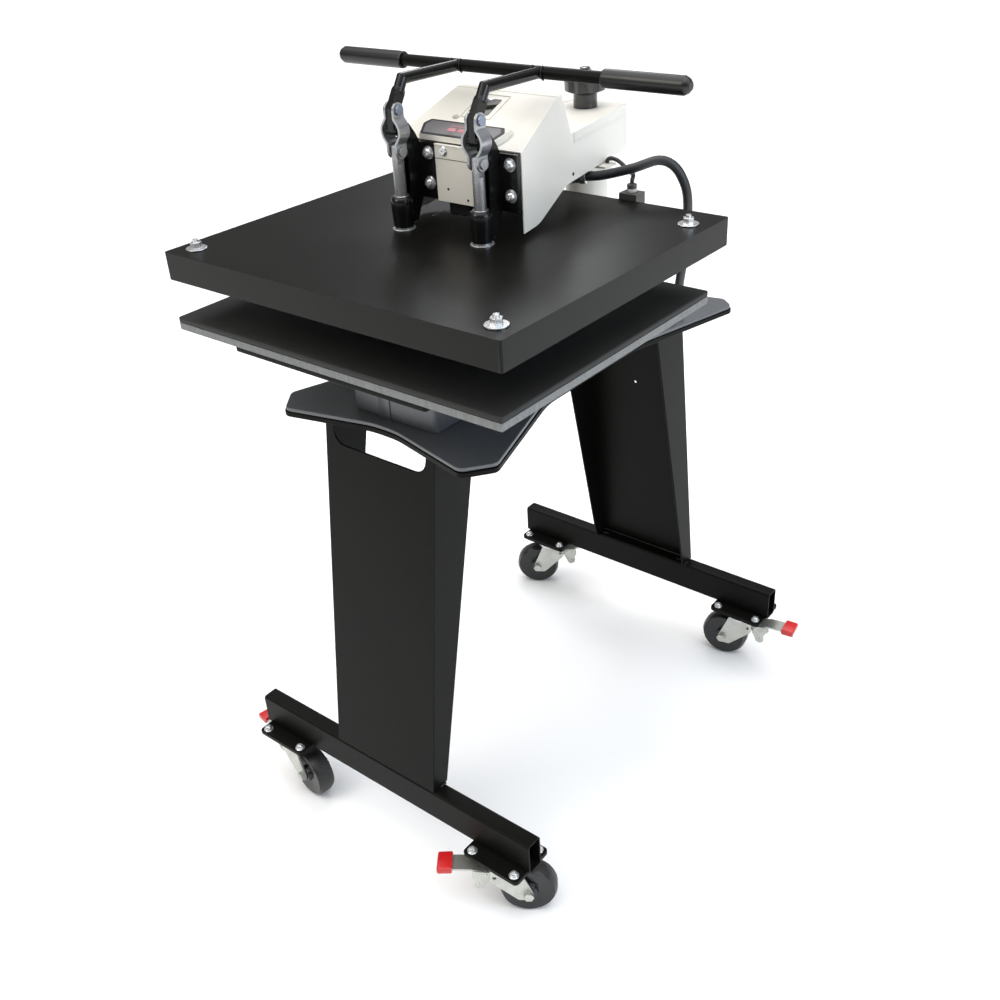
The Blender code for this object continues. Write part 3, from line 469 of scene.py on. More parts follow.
class Axis(Enum):
    """Direction that a flat outline or a turned profile is raised along."""

    X = Matrix(((0, 0, 1, 0), (1, 0, 0, 0), (0, 1, 0, 0), (0, 0, 0, 1)))
    Y = Matrix(((1, 0, 0, 0), (0, 0, 1, 0), (0, 1, 0, 0), (0, 0, 0, 1)))
    Z = Matrix.Identity(4)


class Form:
    """A mesh that is shaped by bmesh operators."""

    def __init__(self) -> None:
        """Start empty."""
        self.bm = bmesh.new()

    def move(self, matrix: Matrix) -> "Form":
        """Transform everything.

        Args:
            matrix: The transform.

        Returns:
            This form.
        """
        bmesh.ops.transform(self.bm, matrix=matrix, verts=self.bm.verts)
        return self

    def soften(self, width: float, segments: int = 2, angle: float = 35.0) -> "Form":
        """Round the edges that turn by more than an angle.

        Args:
            width: Bevel width in metres.
            segments: Steps in the round.
            angle: Least turn in degrees.

        Returns:
            This form.
        """
        sharp = [e for e in self.bm.edges if len(e.link_faces) == 2 and e.calc_face_angle() > radians(angle)]
        bmesh.ops.bevel(self.bm, geom=sharp, offset=width, affect="EDGES", segments=segments, profile=0.5,
                        material=-1, clamp_overlap=True)
        return self

    def tidy(self) -> "Form":
        """Merge doubles and point the faces outwards."""
        bmesh.ops.remove_doubles(self.bm, verts=self.bm.verts, dist=0.000002)
        bmesh.ops.recalc_face_normals(self.bm, faces=self.bm.faces)
        return self

    def join(self, *others: "Form") -> "Form":
        """Add other forms to this one.

        Args:
            others: The forms to add; they are used up.

        Returns:
            This form.
        """
        for other in others:
            scratch = bpy.data.meshes.new("scratch")
            other.bm.to_mesh(scratch)
            other.bm.free()
            self.bm.from_mesh(scratch)
            bpy.data.meshes.remove(scratch)
        return self

    @classmethod
    def block(cls, low: Place, high: Place, edge: float = 0.0) -> "Form":
        """A box with softened edges.

        Args:
            low: Lowest corner.
            high: Highest corner.
            edge: Width of its bevels.

        Returns:
            The box.
        """
        form = cls()
        size = Vector(high) - Vector(low)
        middle = (Vector(high) + Vector(low)) / 2
        bmesh.ops.create_cube(form.bm, size=1.0, matrix=Matrix.Translation(middle) @ Matrix.Diagonal((*size, 1.0)))
        return form.soften(edge) if edge else form

    @classmethod
    def turned(cls, profile: Iterable[Flat], centre: Place, axis: Axis = Axis.Z, steps: int = 24) -> "Form":
        """A profile spun round an axis.

        Args:
            profile: Radius and height of each corner.
            centre: Where the height is zero.
            axis: The axis.
            steps: Sides of the full turn.

        Returns:
            The turned form.
        """
        form = cls()
        points = [form.bm.verts.new((r, 0.0, h)) for r, h in profile]
        edges = [form.bm.edges.new(pair) for pair in zip(points, points[1:])]
        bmesh.ops.spin(form.bm, geom=points + edges, cent=(0, 0, 0), axis=(0, 0, 1), angle=2 * pi, steps=steps,
                       use_merge=True)
        return form.tidy().move(Matrix.Translation(centre) @ axis.value)

    @classmethod
    def slab(cls, outline: Iterable[Flat], low: float, high: float, axis: Axis = Axis.Z,
             corner: float = 0.0, edge: float = 0.0) -> "Form":
        """A flat outline raised between two heights.

        Args:
            outline: Corners in the plane across the axis.
            low: Lower height.
            high: Upper height.
            axis: The axis it is raised along.
            corner: Radius of the outline's corners.
            edge: Width of the bevels along its rims.

        Returns:
            The slab.
        """
        form = cls()
        points = [form.bm.verts.new((u, v, low)) for u, v in outline]
        bmesh.ops.contextual_create(form.bm, geom=points)
        if corner:
            bmesh.ops.bevel(form.bm, geom=points, offset=corner, affect="VERTICES", segments=4, profile=0.5,
                            material=-1, clamp_overlap=True)
        raised = bmesh.ops.extrude_face_region(form.bm, geom=list(form.bm.faces), use_keep_orig=True)
        tops = [v for v in raised["geom"] if isinstance(v, bmesh.types.BMVert)]
        bmesh.ops.translate(form.bm, vec=(0, 0, high - low), verts=tops)
        form.tidy()
        if edge:
            form.soften(edge, 2, 60.0)
        form.move(axis.value)
        return form.tidy()

    @classmethod
    def hexagon(cls, across: float, low: float, high: float, centre: Place, axis: Axis = Axis.Z,
                turn: float = 0.0) -> "Form":
        """A chamfered hexagon head.

        Args:
            across: Distance across its flats.
            low: Lower height above the centre.
            high: Upper height above the centre.
            centre: Its centre.
            axis: Its axis.
            turn: Turn about the axis, in radians.

        Returns:
            The head.
        """
        form = cls()
        radius = across / 2 / cos(pi / 6)
        bmesh.ops.create_cone(form.bm, cap_ends=True, segments=6, radius1=radius, radius2=radius, depth=high - low,
                              matrix=Matrix.Rotation(turn, 4, "Z"))
        form.soften(across * 0.06, 2, 40.0)
        return form.move(Matrix.Translation(centre) @ axis.value @ Matrix.Translation((0, 0, (low + high) / 2)))

    @classmethod
    def tube(cls, route: Sequence[Vector], radii: Sequence[float], sides: int = 20) -> "Form":
        """A round tube swept along a route by extruding one ring.

        Args:
            route: Points of the centreline.
            radii: Radius at each point.
            sides: Sides of the ring.

        Returns:
            The tube, closed at its ends.
        """
        form = cls()
        ring = bmesh.ops.create_circle(form.bm, cap_ends=False, segments=sides, radius=1.0)["verts"]
        edges = list(form.bm.edges)
        ahead = (route[1] - route[0]).normalized()
        turn = Vector((0, 0, 1)).rotation_difference(ahead).to_matrix()
        last = Matrix.Identity(4)
        for index, (point, radius) in enumerate(zip(route, radii)):
            before, after = route[max(0, index - 1)], route[min(len(route) - 1, index + 1)]
            heading = (after - before).normalized()
            turn = ahead.rotation_difference(heading).to_matrix() @ turn
            ahead = heading
            stand = Matrix.Translation(point) @ turn.to_4x4() @ Matrix.Diagonal((radius, radius, 1.0, 1.0))
            if index:
                raised = bmesh.ops.extrude_edge_only(form.bm, edges=edges)["geom"]
                ring = [g for g in raised if isinstance(g, bmesh.types.BMVert)]
                fresh = set(ring)
                edges = [g for g in raised if isinstance(g, bmesh.types.BMEdge) and set(g.verts) <= fresh]
            bmesh.ops.transform(form.bm, matrix=stand @ last.inverted(), verts=ring)
            last = stand
        bmesh.ops.holes_fill(form.bm, edges=form.bm.edges, sides=0)
        return form.tidy()

    def piece(self, name: str, finish: Finish, body: str | None, sharp: float = 40.0) -> bpy.types.Object:
        """Finish the form as a piece.

        Args:
            name: The piece's name.
            finish: Its finish.
            body: The body that it rides on; none for a piece that rides on no body.
            sharp: Edges that turn by more than this many degrees stay crisp.

        Returns:
            The piece.
        """
        mesh = bpy.data.meshes.new(name)
        self.bm.to_mesh(mesh)
        self.bm.free()
        mesh.shade_smooth()
        mesh.set_sharp_from_angle(angle=radians(sharp))
        mesh.materials.append(finish.material)
        made = bpy.data.objects.new(name, mesh)
        bpy.context.scene.collection.objects.link(made)
        if body is not None:
            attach(made, body)
        LOG.info("piece %s: %d faces", name, len(mesh.polygons))
        return made


@dataclass(frozen=True)
class Softening:
    """How the edges of a CAD node are rounded."""

    width: float = 0.0006
    segments: int = 2
    angle: float = 30.0


def dress(finish: Finish, *nodes: str, edges: Softening = Softening()) -> None:
    """Give CAD nodes a finish and rounded edges.

    Args:
        finish: The finish.
        nodes: Names of the nodes.
        edges: The rounding.
    """
    for name in nodes:
        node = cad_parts[name]
        node.data.materials.clear()
        node.data.materials.append(finish.material)
        node.data.shade_smooth()
        weld = node.modifiers.new("weld", "WELD")
        weld.merge_threshold = WELD_GAP
        flat = node.modifiers.new("flats", "DECIMATE")
        flat.decimate_type = "DISSOLVE"
        flat.angle_limit = radians(FLAT_TURN)
        bevel = node.modifiers.new("edges", "BEVEL")
        bevel.width = edges.width
        bevel.segments = edges.segments
        bevel.angle_limit = radians(edges.angle)
        level = node.modifiers.new("normals", "WEIGHTED_NORMAL")
        level.mode = "FACE_AREA"
        level.weight = 100
        level.keep_sharp = False
        LOG.info("node %s: %s", name, finish.name)


def smooth_path(knots: Sequence[Vector], spacing: float) -> list[Vector]:
    """A smooth path through knots.

    Args:
        knots: The points that it passes through.
        spacing: About how far apart its points are.

    Returns:
        The points of the path.
    """
    run = [knots[0] * 2 - knots[1], *knots, knots[-1] * 2 - knots[-2]]
    points = [run[1]]
    for a, b, c, d in zip(run, run[1:], run[2:], run[3:]):
        steps = max(2, round((c - b).length / spacing))
        for k in range(1, steps + 1):
            t = k / steps
            bend = (a * 2 - b * 5 + c * 4 - d) * t * t + (b * 3 - a - c * 3 + d) * t * t * t
            points.append((b * 2 + (c - a) * t + bend) / 2)
    return points


def middle(node: str) -> Vector:
    """Centre of a node's box."""
    low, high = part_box(node)
    return (low + high) / 2


def dome_bolt(centre: Place, axis: Axis, out: float, radius: float, height: float) -> Form:
    """A round-headed bolt with a washer and a hex socket.

    Args:
        centre: Centre of the washer's underside.
        axis: The bolt's axis.
        out: One or minus one, the way that the head points.
        radius: Radius of the head.
        height: Height of the head.

    Returns:
        The bolt.
    """
    washer = 0.0014
    profile = [
        (0.0, 0.0), (radius * 1.28, 0.0), (radius * 1.28, washer * 0.75), (radius * 1.2, washer),
        (radius, washer), (radius, washer + height * 0.25), (radius * 0.9, washer + height * 0.62),
        (radius * 0.68, washer + height * 0.9), (radius * 0.42, washer + height), (radius * 0.36, washer + height),
        (radius * 0.34, washer + height * 0.55), (0.0, washer + height * 0.5),
    ]
    return Form.turned([(r, out * h) for r, h in profile], centre, axis, 20)


# Studio


@dataclass
class Camera:
    """The camera, given by its place and three angles in degrees."""

    place: Place = (0.9123, -1.1347, 1.3011)
    azimuth: float = 40.26
    elevation: float = 30.96
    roll: float = -3.449
    lens: float = 40.27

    def build(self) -> None:
        """Make the camera and use it."""
        turn, rise, lean = radians(self.azimuth), radians(self.elevation), radians(self.roll)
        back = Vector((sin(turn) * cos(rise), -cos(turn) * cos(rise), sin(rise)))
        right = Vector((cos(turn), sin(turn), 0.0))
        up = back.cross(right)
        level, upright = cos(lean) * right + sin(lean) * up, cos(lean) * up - sin(lean) * right
        data = bpy.data.cameras.new("camera")
        data.lens = self.lens
        data.sensor_width = 36.0
        made = bpy.data.objects.new("camera", data)
        bpy.context.scene.collection.objects.link(made)
        made.matrix_world = Matrix.Translation(self.place) @ Matrix((level, upright, back)).transposed().to_4x4()
        bpy.context.scene.camera = made


@dataclass(frozen=True)
class Softbox:
    """One soft light, aimed at a point."""

    name: str
    place: Place
    aim: Place
    size: float
    power: float
    colour: Colour = (1.0, 1.0, 1.0)

    def build(self) -> None:
        """Make the light."""
        data = bpy.data.lights.new(self.name, "AREA")
        data.shape = "SQUARE"
        data.size = self.size
        data.energy = self.power
        data.color = self.colour
        made = bpy.data.objects.new(self.name, data)
        bpy.context.scene.collection.objects.link(made)
        made.location = self.place
        made.rotation_euler = (Vector(self.aim) - Vector(self.place)).to_track_quat("-Z", "Y").to_euler()


@dataclass
class Studio:
    """Pale floor, white surround and soft lights."""

    floor_half: float = 14.0
    zenith: float = 3.0
    sides: float = 0.2
    rise: Flat = (0.56, 0.97)
    lights: tuple[Softbox, ...] = (
        Softbox("key", (-1.2, -2.2, 2.6), (0.0, -0.1, 0.85), 1.2, 26.0, (1.0, 0.95, 0.86)),
        Softbox("window", (3.2, 0.2, 1.9), (0.1, 0.0, 0.75), 1.8, 55.0, (0.72, 0.84, 1.0)),
        Softbox("sheen", (-1.5, 1.9, 2.35), (0.1, -0.1, 0.87), 0.7, 9.0, (0.95, 0.97, 1.0)),
    )

    def build(self) -> None:
        """Make the floor, the surround and the lights."""
        floor = bmesh.new()
        bmesh.ops.create_grid(floor, x_segments=1, y_segments=1, size=self.floor_half)
        mesh = bpy.data.meshes.new("floor")
        floor.to_mesh(mesh)
        floor.free()
        graph = Graph.named("floor_paint")
        cloud = graph.noise(graph.place(), 0.7, 3.0)
        colour = graph.blend(cloud, (0.93, 0.93, 0.93), (0.96, 0.96, 0.955))
        mesh.materials.append(graph.finish(Base_Color=colour, Roughness=0.85 + 0.1 * cloud))
        made = bpy.data.objects.new("floor", mesh)
        bpy.context.scene.collection.objects.link(made)
        sky = Graph(bpy.data.worlds.new("surround"))
        way = sky.node("ShaderNodeTexCoord", output="Generated")
        height = sky.node("ShaderNodeSeparateXYZ", {}, {0: way}, "Z")
        glow = self.sides + (self.zenith - self.sides) * sky.between(height, *self.rise)
        bpy.context.scene.world = sky.finish(Color=(1.0, 1.0, 1.0), Strength=glow)
        bpy.context.scene.view_settings.view_transform = "Standard"
        for light in self.lights:
            light.build()


# Hose and cable


@dataclass
class Cord:
    """A flexible line whose two ends go into the press."""

    name: str
    node: str
    route: Sequence[Vector]
    diameter: float
    bodies: tuple[str, str]
    still: tuple[Place, Place]
    stiffness: str

    def build(self) -> None:
        points = smooth_path(self.route, self.diameter / 2)
        made = Form.tube(points, [self.diameter / 2] * len(points), 24).piece(self.name, Finish.HOSE, None, 60.0)
        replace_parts(made, self.node)
        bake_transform(made)
        length = sum((b - a).length for a, b in zip(points, points[1:]))
        LOG.info("cord %s: %.3f m", self.name, length)


@dataclass
class Lines:
    """The wiring hose down to the base and the thermostat cable on the cover."""

    hose: tuple[Place, ...] = (
        (0.0545, 0.2240, 0.8985), (0.0695, 0.2300, 0.8996), (0.0876, 0.2360, 0.9036), (0.1160, 0.2460, 0.9119),
        (0.1378, 0.2680, 0.9190), (0.1530, 0.2800, 0.9120), (0.1640, 0.2880, 0.8930), (0.1690, 0.2940, 0.8643),
        (0.1640, 0.3020, 0.8050), (0.1520, 0.3100, 0.7458), (0.1380, 0.3280, 0.7080), (0.1280, 0.3400, 0.6905),
    )
    cable: tuple[Place, ...] = (
        (0.1160, 0.2400, 0.8943), (0.1159, 0.2408, 0.8978), (0.1110, 0.2505, 0.9012), (0.0980, 0.2620, 0.9005),
        (0.0820, 0.2705, 0.9060), (0.0720, 0.2715, 0.9108), (0.0640, 0.2690, 0.9130), (0.0604, 0.2660, 0.9112),
        (0.0600, 0.2655, 0.9076),
    )

    def shifted(self, route: Iterable[Place]) -> list[Vector]:
        """A route moved from the press's own frame to the row frame."""
        return [Vector((x, y + PRESS_Y, z)) for x, y, z in route]

    def build(self) -> None:
        """Make both cords."""
        hose, cable = self.shifted(self.hose), self.shifted(self.cable)
        low, high = Vector((0.15, 0.18, 0.715)), Vector((0.15, 0.18, 0.905))
        Cord("wiring_hose", "hose", hose, 0.0126, ("stand", "head"), (low, high), "stiff").build()
        Cord("thermostat_cable", "cable", cable, 0.0056, ("upper_platen", "head"), (cable[1], cable[-2]),
             "medium").build()


# Stand


@dataclass
class Stand:
    """Feet, legs, base plates, pedestal, table, pad and post."""

    bolt_reach: Flat = (0.036, 0.027)
    caster_bolt: Flat = (0.0056, 0.0052)
    plate_top: float = 0.1057
    weld: float = 0.0021
    pad_crown: float = 0.0006

    def build(self) -> None:
        """Dress the CAD nodes and add the small parts."""
        dress(Finish.STAND, "foot_tube_front", "foot_tube_rear", edges=Softening(0.0008))
        dress(Finish.STAND, "leg_front", "leg_rear", "stand_top_plate", "table_stiffener", edges=Softening(0.0009))
        dress(Finish.GREY, "base_plate", edges=Softening(0.0012, 3))
        dress(Finish.GREY, "table_support", edges=Softening(0.0008))
        dress(Finish.ALUMINIUM, "lower_table", edges=Softening(0.0007))
        dress(Finish.CREAM, "swing_post", edges=Softening(0.0009))
        dress(Finish.GREY_PLASTIC, "thrust_washer", edges=Softening(0.0003))
        dress(Finish.ZINC, "hose_gland_base", "hose_gland_head", edges=Softening(0.0005))
        self.bolts()
        self.welds()
        self.pedestal()
        self.pad()

    def bolts(self) -> None:
        """Bolts on the caster pads."""
        for end in ("front", "rear"):
            tube = middle(f"foot_tube_{end}")
            forms = [
                dome_bolt((x + u * self.bolt_reach[0], tube.y + v * self.bolt_reach[1], self.plate_top), Axis.Z, 1.0,
                          *self.caster_bolt)
                for x in (-CASTER_X, CASTER_X) for u in (-1, 1) for v in (-1, 1)
            ]
            Form().join(*forms).piece(f"caster_bolts_{end}", Finish.BRIGHT, "stand", 30.0)

    def welds(self) -> None:
        """Rippled weld beads where the legs meet the foot tubes."""
        for end, inward in (("front", 1), ("rear", -1)):
            low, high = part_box(f"leg_{end}")
            web = low.y if inward > 0 else high.y
            floor = low.z + 0.0004
            beads = []
            for side in (-1, 1):
                start = Vector((side * (high.x + 0.0006), web + inward * 0.014, floor))
                beads.append(self.bead(start, start + Vector((0, inward * 0.0115, 0))))
                inner = Vector((side * (high.x - 0.0045), web + inward * 0.0155, floor))
                beads.append(self.bead(inner, inner + Vector((-side * 0.016, 0, 0))))
            Form().join(*beads).piece(f"leg_welds_{end}", Finish.GLOSS, "stand", 80.0)

    def bead(self, start: Vector, end: Vector) -> Form:
        """One bead of overlapping ripples.

        Args:
            start: Where it starts.
            end: Where it ends.

        Returns:
            The bead.
        """
        count = max(8, int((end - start).length / 0.0007))
        route = [start.lerp(end, k / count) for k in range(count + 1)]
        radii = [self.weld * (0.55 if k in (0, count) else 0.86 + 0.14 * cos(k * 2.1)) for k in range(count + 1)]
        return Form.tube(route, radii, 10)

    def pedestal(self) -> None:
        """Folded seam strips on the pedestal's front and sides."""
        low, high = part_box("table_support")
        lap, proud = 0.019, 0.0016
        strips = [
            Form.block((low.x + 0.046, low.y - proud, low.z), (low.x + 0.046 + lap, low.y + 0.0004, high.z - 0.001),
                       0.0005),
            Form.block((high.x - 0.0004, low.y + 0.082, low.z), (high.x + proud, low.y + 0.082 + lap, high.z - 0.001),
                       0.0005),
            Form.block((low.x - proud, low.y + 0.082, low.z), (low.x + 0.0004, low.y + 0.082 + lap, high.z - 0.001),
                       0.0005),
        ]
        Form().join(*strips).piece("pedestal_seams", Finish.GREY, "stand")

    def pad(self) -> None:
        """The silicone pad: a crowned sheet with rounded rims, in place of its CAD slab."""
        low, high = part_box("silicone_pad")
        form = Form()
        size = high - low
        seat = Matrix.Translation((low + high) / 2) @ Matrix.Diagonal((*size, 1.0))
        bmesh.ops.create_cube(form.bm, size=1.0, matrix=seat)
        upright = [e for e in form.bm.edges if abs(e.verts[0].co.z - e.verts[1].co.z) > size.z / 2]
        bmesh.ops.bevel(form.bm, geom=upright, offset=0.0030, affect="EDGES", segments=4, profile=0.5, material=-1,
                        clamp_overlap=True)
        form.soften(0.0016, 3, 60.0)
        for step in range(1, 12):
            for normal, reach in (((1, 0, 0), low.x + size.x * step / 12), ((0, 1, 0), low.y + size.y * step / 12)):
                point = (reach, 0, 0) if normal[0] else (0, reach, 0)
                geom = [*form.bm.verts, *form.bm.edges, *form.bm.faces]
                bmesh.ops.bisect_plane(form.bm, geom=geom, plane_co=point, plane_no=normal, dist=0.0000001)
        centre = (low + high) / 2
        for vert in form.bm.verts:
            if vert.co.z > centre.z:
                u = (vert.co.x - centre.x) / (size.x / 2)
                v = (vert.co.y - centre.y) / (size.y / 2)
                vert.co.z -= self.pad_crown * (u * u + v * v) / 2
        pad = form.tidy().piece("silicone_sheet", Finish.SILICONE, "stand", 35.0)
        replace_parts(pad, "silicone_pad")


@dataclass
class Caster:
    """One braked swivel caster."""

    key: str
    x: float
    y: float
    heading: float
    trail: float = 0.030
    wheel: float = 0.040
    pivot: Flat = (0.016, 0.0735)

    def local(self) -> Matrix:
        """The caster's own frame: lever towards +X, wheel trailing."""
        return Matrix.Translation((self.x, self.y, 0)) @ Matrix.Rotation(radians(self.heading), 4, "Z")

    def build(self) -> None:
        """Dress the caster and add its lever's cams and red sleeve."""
        fork, wheel, brake = (f"caster_{part}_{self.key}" for part in ("fork", "wheel", "brake"))
        dress(Finish.ZINC, fork, edges=Softening(0.0004))
        dress(Finish.ZINC, brake, edges=Softening(0.0004))
        dress(Finish.GLOSS, wheel, edges=Softening(0.0007, 3))
        axle = self.local() @ Vector((-self.trail, 0, self.wheel))
        rubber = BrakedWheel(f"cast_wheel_{self.key}", tuple(axle), radians(self.heading)).build()
        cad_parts[wheel].data.materials[0] = rubber
        self.cams()
        self.sleeve()
        self.swivel()

    def cams(self) -> None:
        """The lobed side plates of the brake lever, with their rivets."""
        x, z = self.pivot
        lobe = [
            (x + 0.004, z + 0.004), (x + 0.030, z + 0.0075), (x + 0.0315, z - 0.004), (x + 0.0275, z - 0.012),
            (x + 0.0290, z - 0.021), (x + 0.0235, z - 0.0275), (x + 0.0150, z - 0.0262), (x + 0.0125, z - 0.019),
            (x + 0.0065, z - 0.0085),
        ]
        form = Form()
        for side in (-1, 1):
            inner, outer = sorted((side * 0.01305, side * 0.01475))
            form.join(Form.slab(lobe, inner, outer, Axis.Y, 0.0030, 0.0003))
            for u, v in ((x + 0.0115, z + 0.0005), (x + 0.0225, z - 0.020)):
                rivet = [(0, 0), (0.0026, 0), (0.0022, 0.0009), (0.0012, 0.0013), (0, 0.0014)]
                form.join(Form.turned([(r, side * h) for r, h in rivet], (u, side * 0.01475, v), Axis.Y, 12))
        form.move(self.local()).piece(f"brake_cams_{self.key}", Finish.ZINC, f"brake_{self.key}", 35.0)

    def sleeve(self) -> None:
        """The red dipped sleeve over the lever's tip."""
        x, z = self.pivot
        side = [(x + 0.0578, z + 0.0042), (x + 0.0792, z + 0.0040), (x + 0.0792, z + 0.0146), (x + 0.0578, z + 0.0156)]
        form = Form.slab(side, -0.0156, 0.0156, Axis.Y, 0.0028, 0.0016)
        form.move(self.local()).piece(f"brake_sleeve_{self.key}", Finish.RED, f"brake_{self.key}", 50.0)

    def swivel(self) -> None:
        """Ball-race lip under the caster plate."""
        lip = [(0.0215, 0.0932), (0.0288, 0.0918), (0.0292, 0.0896), (0.0281, 0.0880), (0.0215, 0.0888),
               (0.0215, 0.0932)]
        form = Form.turned(lip, (self.x, self.y, 0), Axis.Z, 32)
        form.piece(f"ball_race_{self.key}", Finish.BRIGHT, f"caster_{self.key}", 45.0)


# Head


@dataclass
class Head:
    """Arm, hood, front panel, console and toggle brackets."""

    bolt_x: float = 0.024
    bolt_z: Flat = (0.9275, 0.9640)
    flange_y: float = 0.0220
    deck_top: float = 0.9675
    laps: Flat = (0.1720, 0.3415)
    peak: Flat = (0.1285, 0.1415)
    slope: tuple[Flat, Flat] = ((0.0300, 0.9775), (0.1300, 1.0200))
    console: tuple[Flat, Flat] = ((0.0260, 0.9846), (0.0530, 0.9965))

    def half(self, y: float) -> float:
        """Half the width of the tapered hood at a depth behind its front."""
        return HOOD_FRONT_HALF - HOOD_TAPER * (y - HOOD_FRONT_Y)

    def tilted(self, line: tuple[Flat, Flat]) -> Matrix:
        """A frame on a sloping face: X across, Y up the slope, Z out of the face.

        Args:
            line: Lower and upper end of the slope, as depth and height.

        Returns:
            The frame.
        """
        (y0, z0), (y1, z1) = line
        up = Vector((0.0, y1 - y0, z1 - z0)).normalized()
        across = Vector((1.0, 0.0, 0.0))
        turn = Matrix((across, up, across.cross(up))).transposed().to_4x4()
        return Matrix.Translation((0.0, y0 + PRESS_Y, z0)) @ turn

    def build(self) -> None:
        """Dress the CAD nodes and add the small parts."""
        dress(Finish.CREAM, "hood", edges=Softening(0.0011, 3))
        dress(Finish.CREAM, "head_arm", "front_panel", edges=Softening(0.0007))
        dress(Finish.CREAM, "control_panel")
        dress(Finish.DARK, "limit_switch")
        dress(Finish.BRIGHT, "switch_lever", edges=Softening(0.0002))
        dress(Finish.GLOSS, "toggle_bracket_left", "toggle_bracket_right")
        dress(Finish.BRIGHT, "pivot_pin_left", "pivot_pin_right", edges=Softening(0.0004))
        self.bolts()
        self.bosses()
        self.prong()
        self.front()
        self.keypad()
        self.display()
        self.deck()

    def bolts(self) -> None:
        """Round-headed bolts through the bracket flanges."""
        front = self.flange_y + PRESS_Y
        for name, side in SIDES:
            forms = [
                dome_bolt((side * ROD_X + u * self.bolt_x, front, z), Axis.Y, -1.0, 0.0064, 0.0056)
                for u in (-1, 1) for z in self.bolt_z
            ]
            Form().join(*forms).piece(f"bracket_bolts_{name}", Finish.BRIGHT, "head", 30.0)

    def bosses(self) -> None:
        """Barrel-shaped guide bosses with a lighter bush at the rod."""
        for name, side in SIDES:
            low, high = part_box(f"push_rod_{name}")
            centre = ((low.x + high.x) / 2, (low.y + high.y) / 2, 0.0)
            barrel = [
                (0.0121, 0.8786), (0.0127, 0.8790), (0.0131, 0.8870), (0.0137, 0.8965), (0.0139, 0.9040),
                (0.0137, 0.9096), (0.0128, 0.9136), (0.0106, 0.9149), (0.0083, 0.9149), (0.0083, 0.9125),
                (0.0121, 0.9125), (0.0121, 0.8786),
            ]
            Form.turned(barrel, centre, Axis.Z, 32).piece(f"guide_boss_{name}", Finish.GLOSS, "head", 50.0)
            bush = [(0.0079, 0.9150), (0.0098, 0.9150), (0.0098, 0.9158), (0.0092, 0.9164), (0.0079, 0.9164),
                    (0.0079, 0.9150)]
            Form.turned(bush, centre, Axis.Z, 28).piece(f"guide_bush_{name}", Finish.STEEL, "head", 40.0)

    def prong(self) -> None:
        """The limit switch's bent feeler wire, in place of its straight CAD bar, and its arm on the switch."""
        low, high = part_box("switch_lever")
        y = (low.y + high.y) / 2
        knots = [Vector((high.x + 0.004, y + 0.001, 0.8882)), Vector((high.x - 0.003, y, 0.8866)),
                 Vector((high.x - 0.012, y - 0.0015, 0.8852)), Vector((high.x - 0.022, y - 0.0035, 0.8826)),
                 Vector((low.x, y - 0.0065, 0.8788))]
        path = smooth_path(knots, 0.0015)
        wire = Form.tube(path, [0.0009] * len(path), 12)
        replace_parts(wire.piece("switch_prong", Finish.BRIGHT, "switch_wire", 60.0), "switch_lever")
        lugs = Form()
        for x0, x1, z0 in ((-0.0230, -0.0140, 0.8855), (-0.0060, 0.0000, 0.8860)):
            lugs.join(Form.block((x0, low.y - 0.0060, z0), (x1, low.y + 0.004, 0.8895), 0.0008))
        lugs.piece("switch_lugs", Finish.DARK, "head")

    def front(self) -> None:
        """Lock, seam and fold of the front panel, dark discs painted as the shade in its screw holes, and the hood's
        side screws.
        """
        low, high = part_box("front_panel")
        lock = [(0, 0), (0.0062, 0), (0.0062, 0.0010), (0.0050, 0.0022), (0.0046, 0.0026), (0.0012, 0.0026),
                (0.0012, 0.0014), (0, 0.0014)]
        Form.turned([(r, -h) for r, h in lock], (-0.0150, low.y, 0.9690), Axis.Y, 28).piece(
            "panel_lock", Finish.BRIGHT, "head", 35.0)
        seam = Form.block((low.x + 0.001, low.y - 0.0002, 0.9590), (high.x - 0.001, low.y + 0.0004, 0.9597))
        # the screw holes are dark discs laid on the panel's face: painted shade standing for the holes
        for x, z in ((-0.0110, 0.9230), (0.0200, 0.9130)):
            seam.join(Form.turned([(0, 0), (0.0016, 0), (0.0016, -0.0003), (0, -0.0003)], (x, low.y, z), Axis.Y, 16))
        seam.piece("panel_seam", Finish.DARK, "head", 30.0)
        fold = Form.block((low.x, low.y - 0.0006, high.z - 0.0012), (high.x, low.y + 0.004, high.z + 0.0004), 0.0004)
        fold.piece("panel_fold", Finish.CREAM, "head")
        screws = Form()
        for side in (-1, 1):
            y = 0.1680
            half = self.half(y)
            head = [(0, 0.0), (0.0024, 0.0), (0.0021, 0.0008), (0.0010, 0.0012), (0, 0.0012)]
            screws.join(Form.turned([(r, side * h) for r, h in head], (side * (half - 0.0002), y + PRESS_Y, 0.9170),
                                    Axis.X, 16))
        screws.piece("hood_screws", Finish.DARK, "head", 40.0)

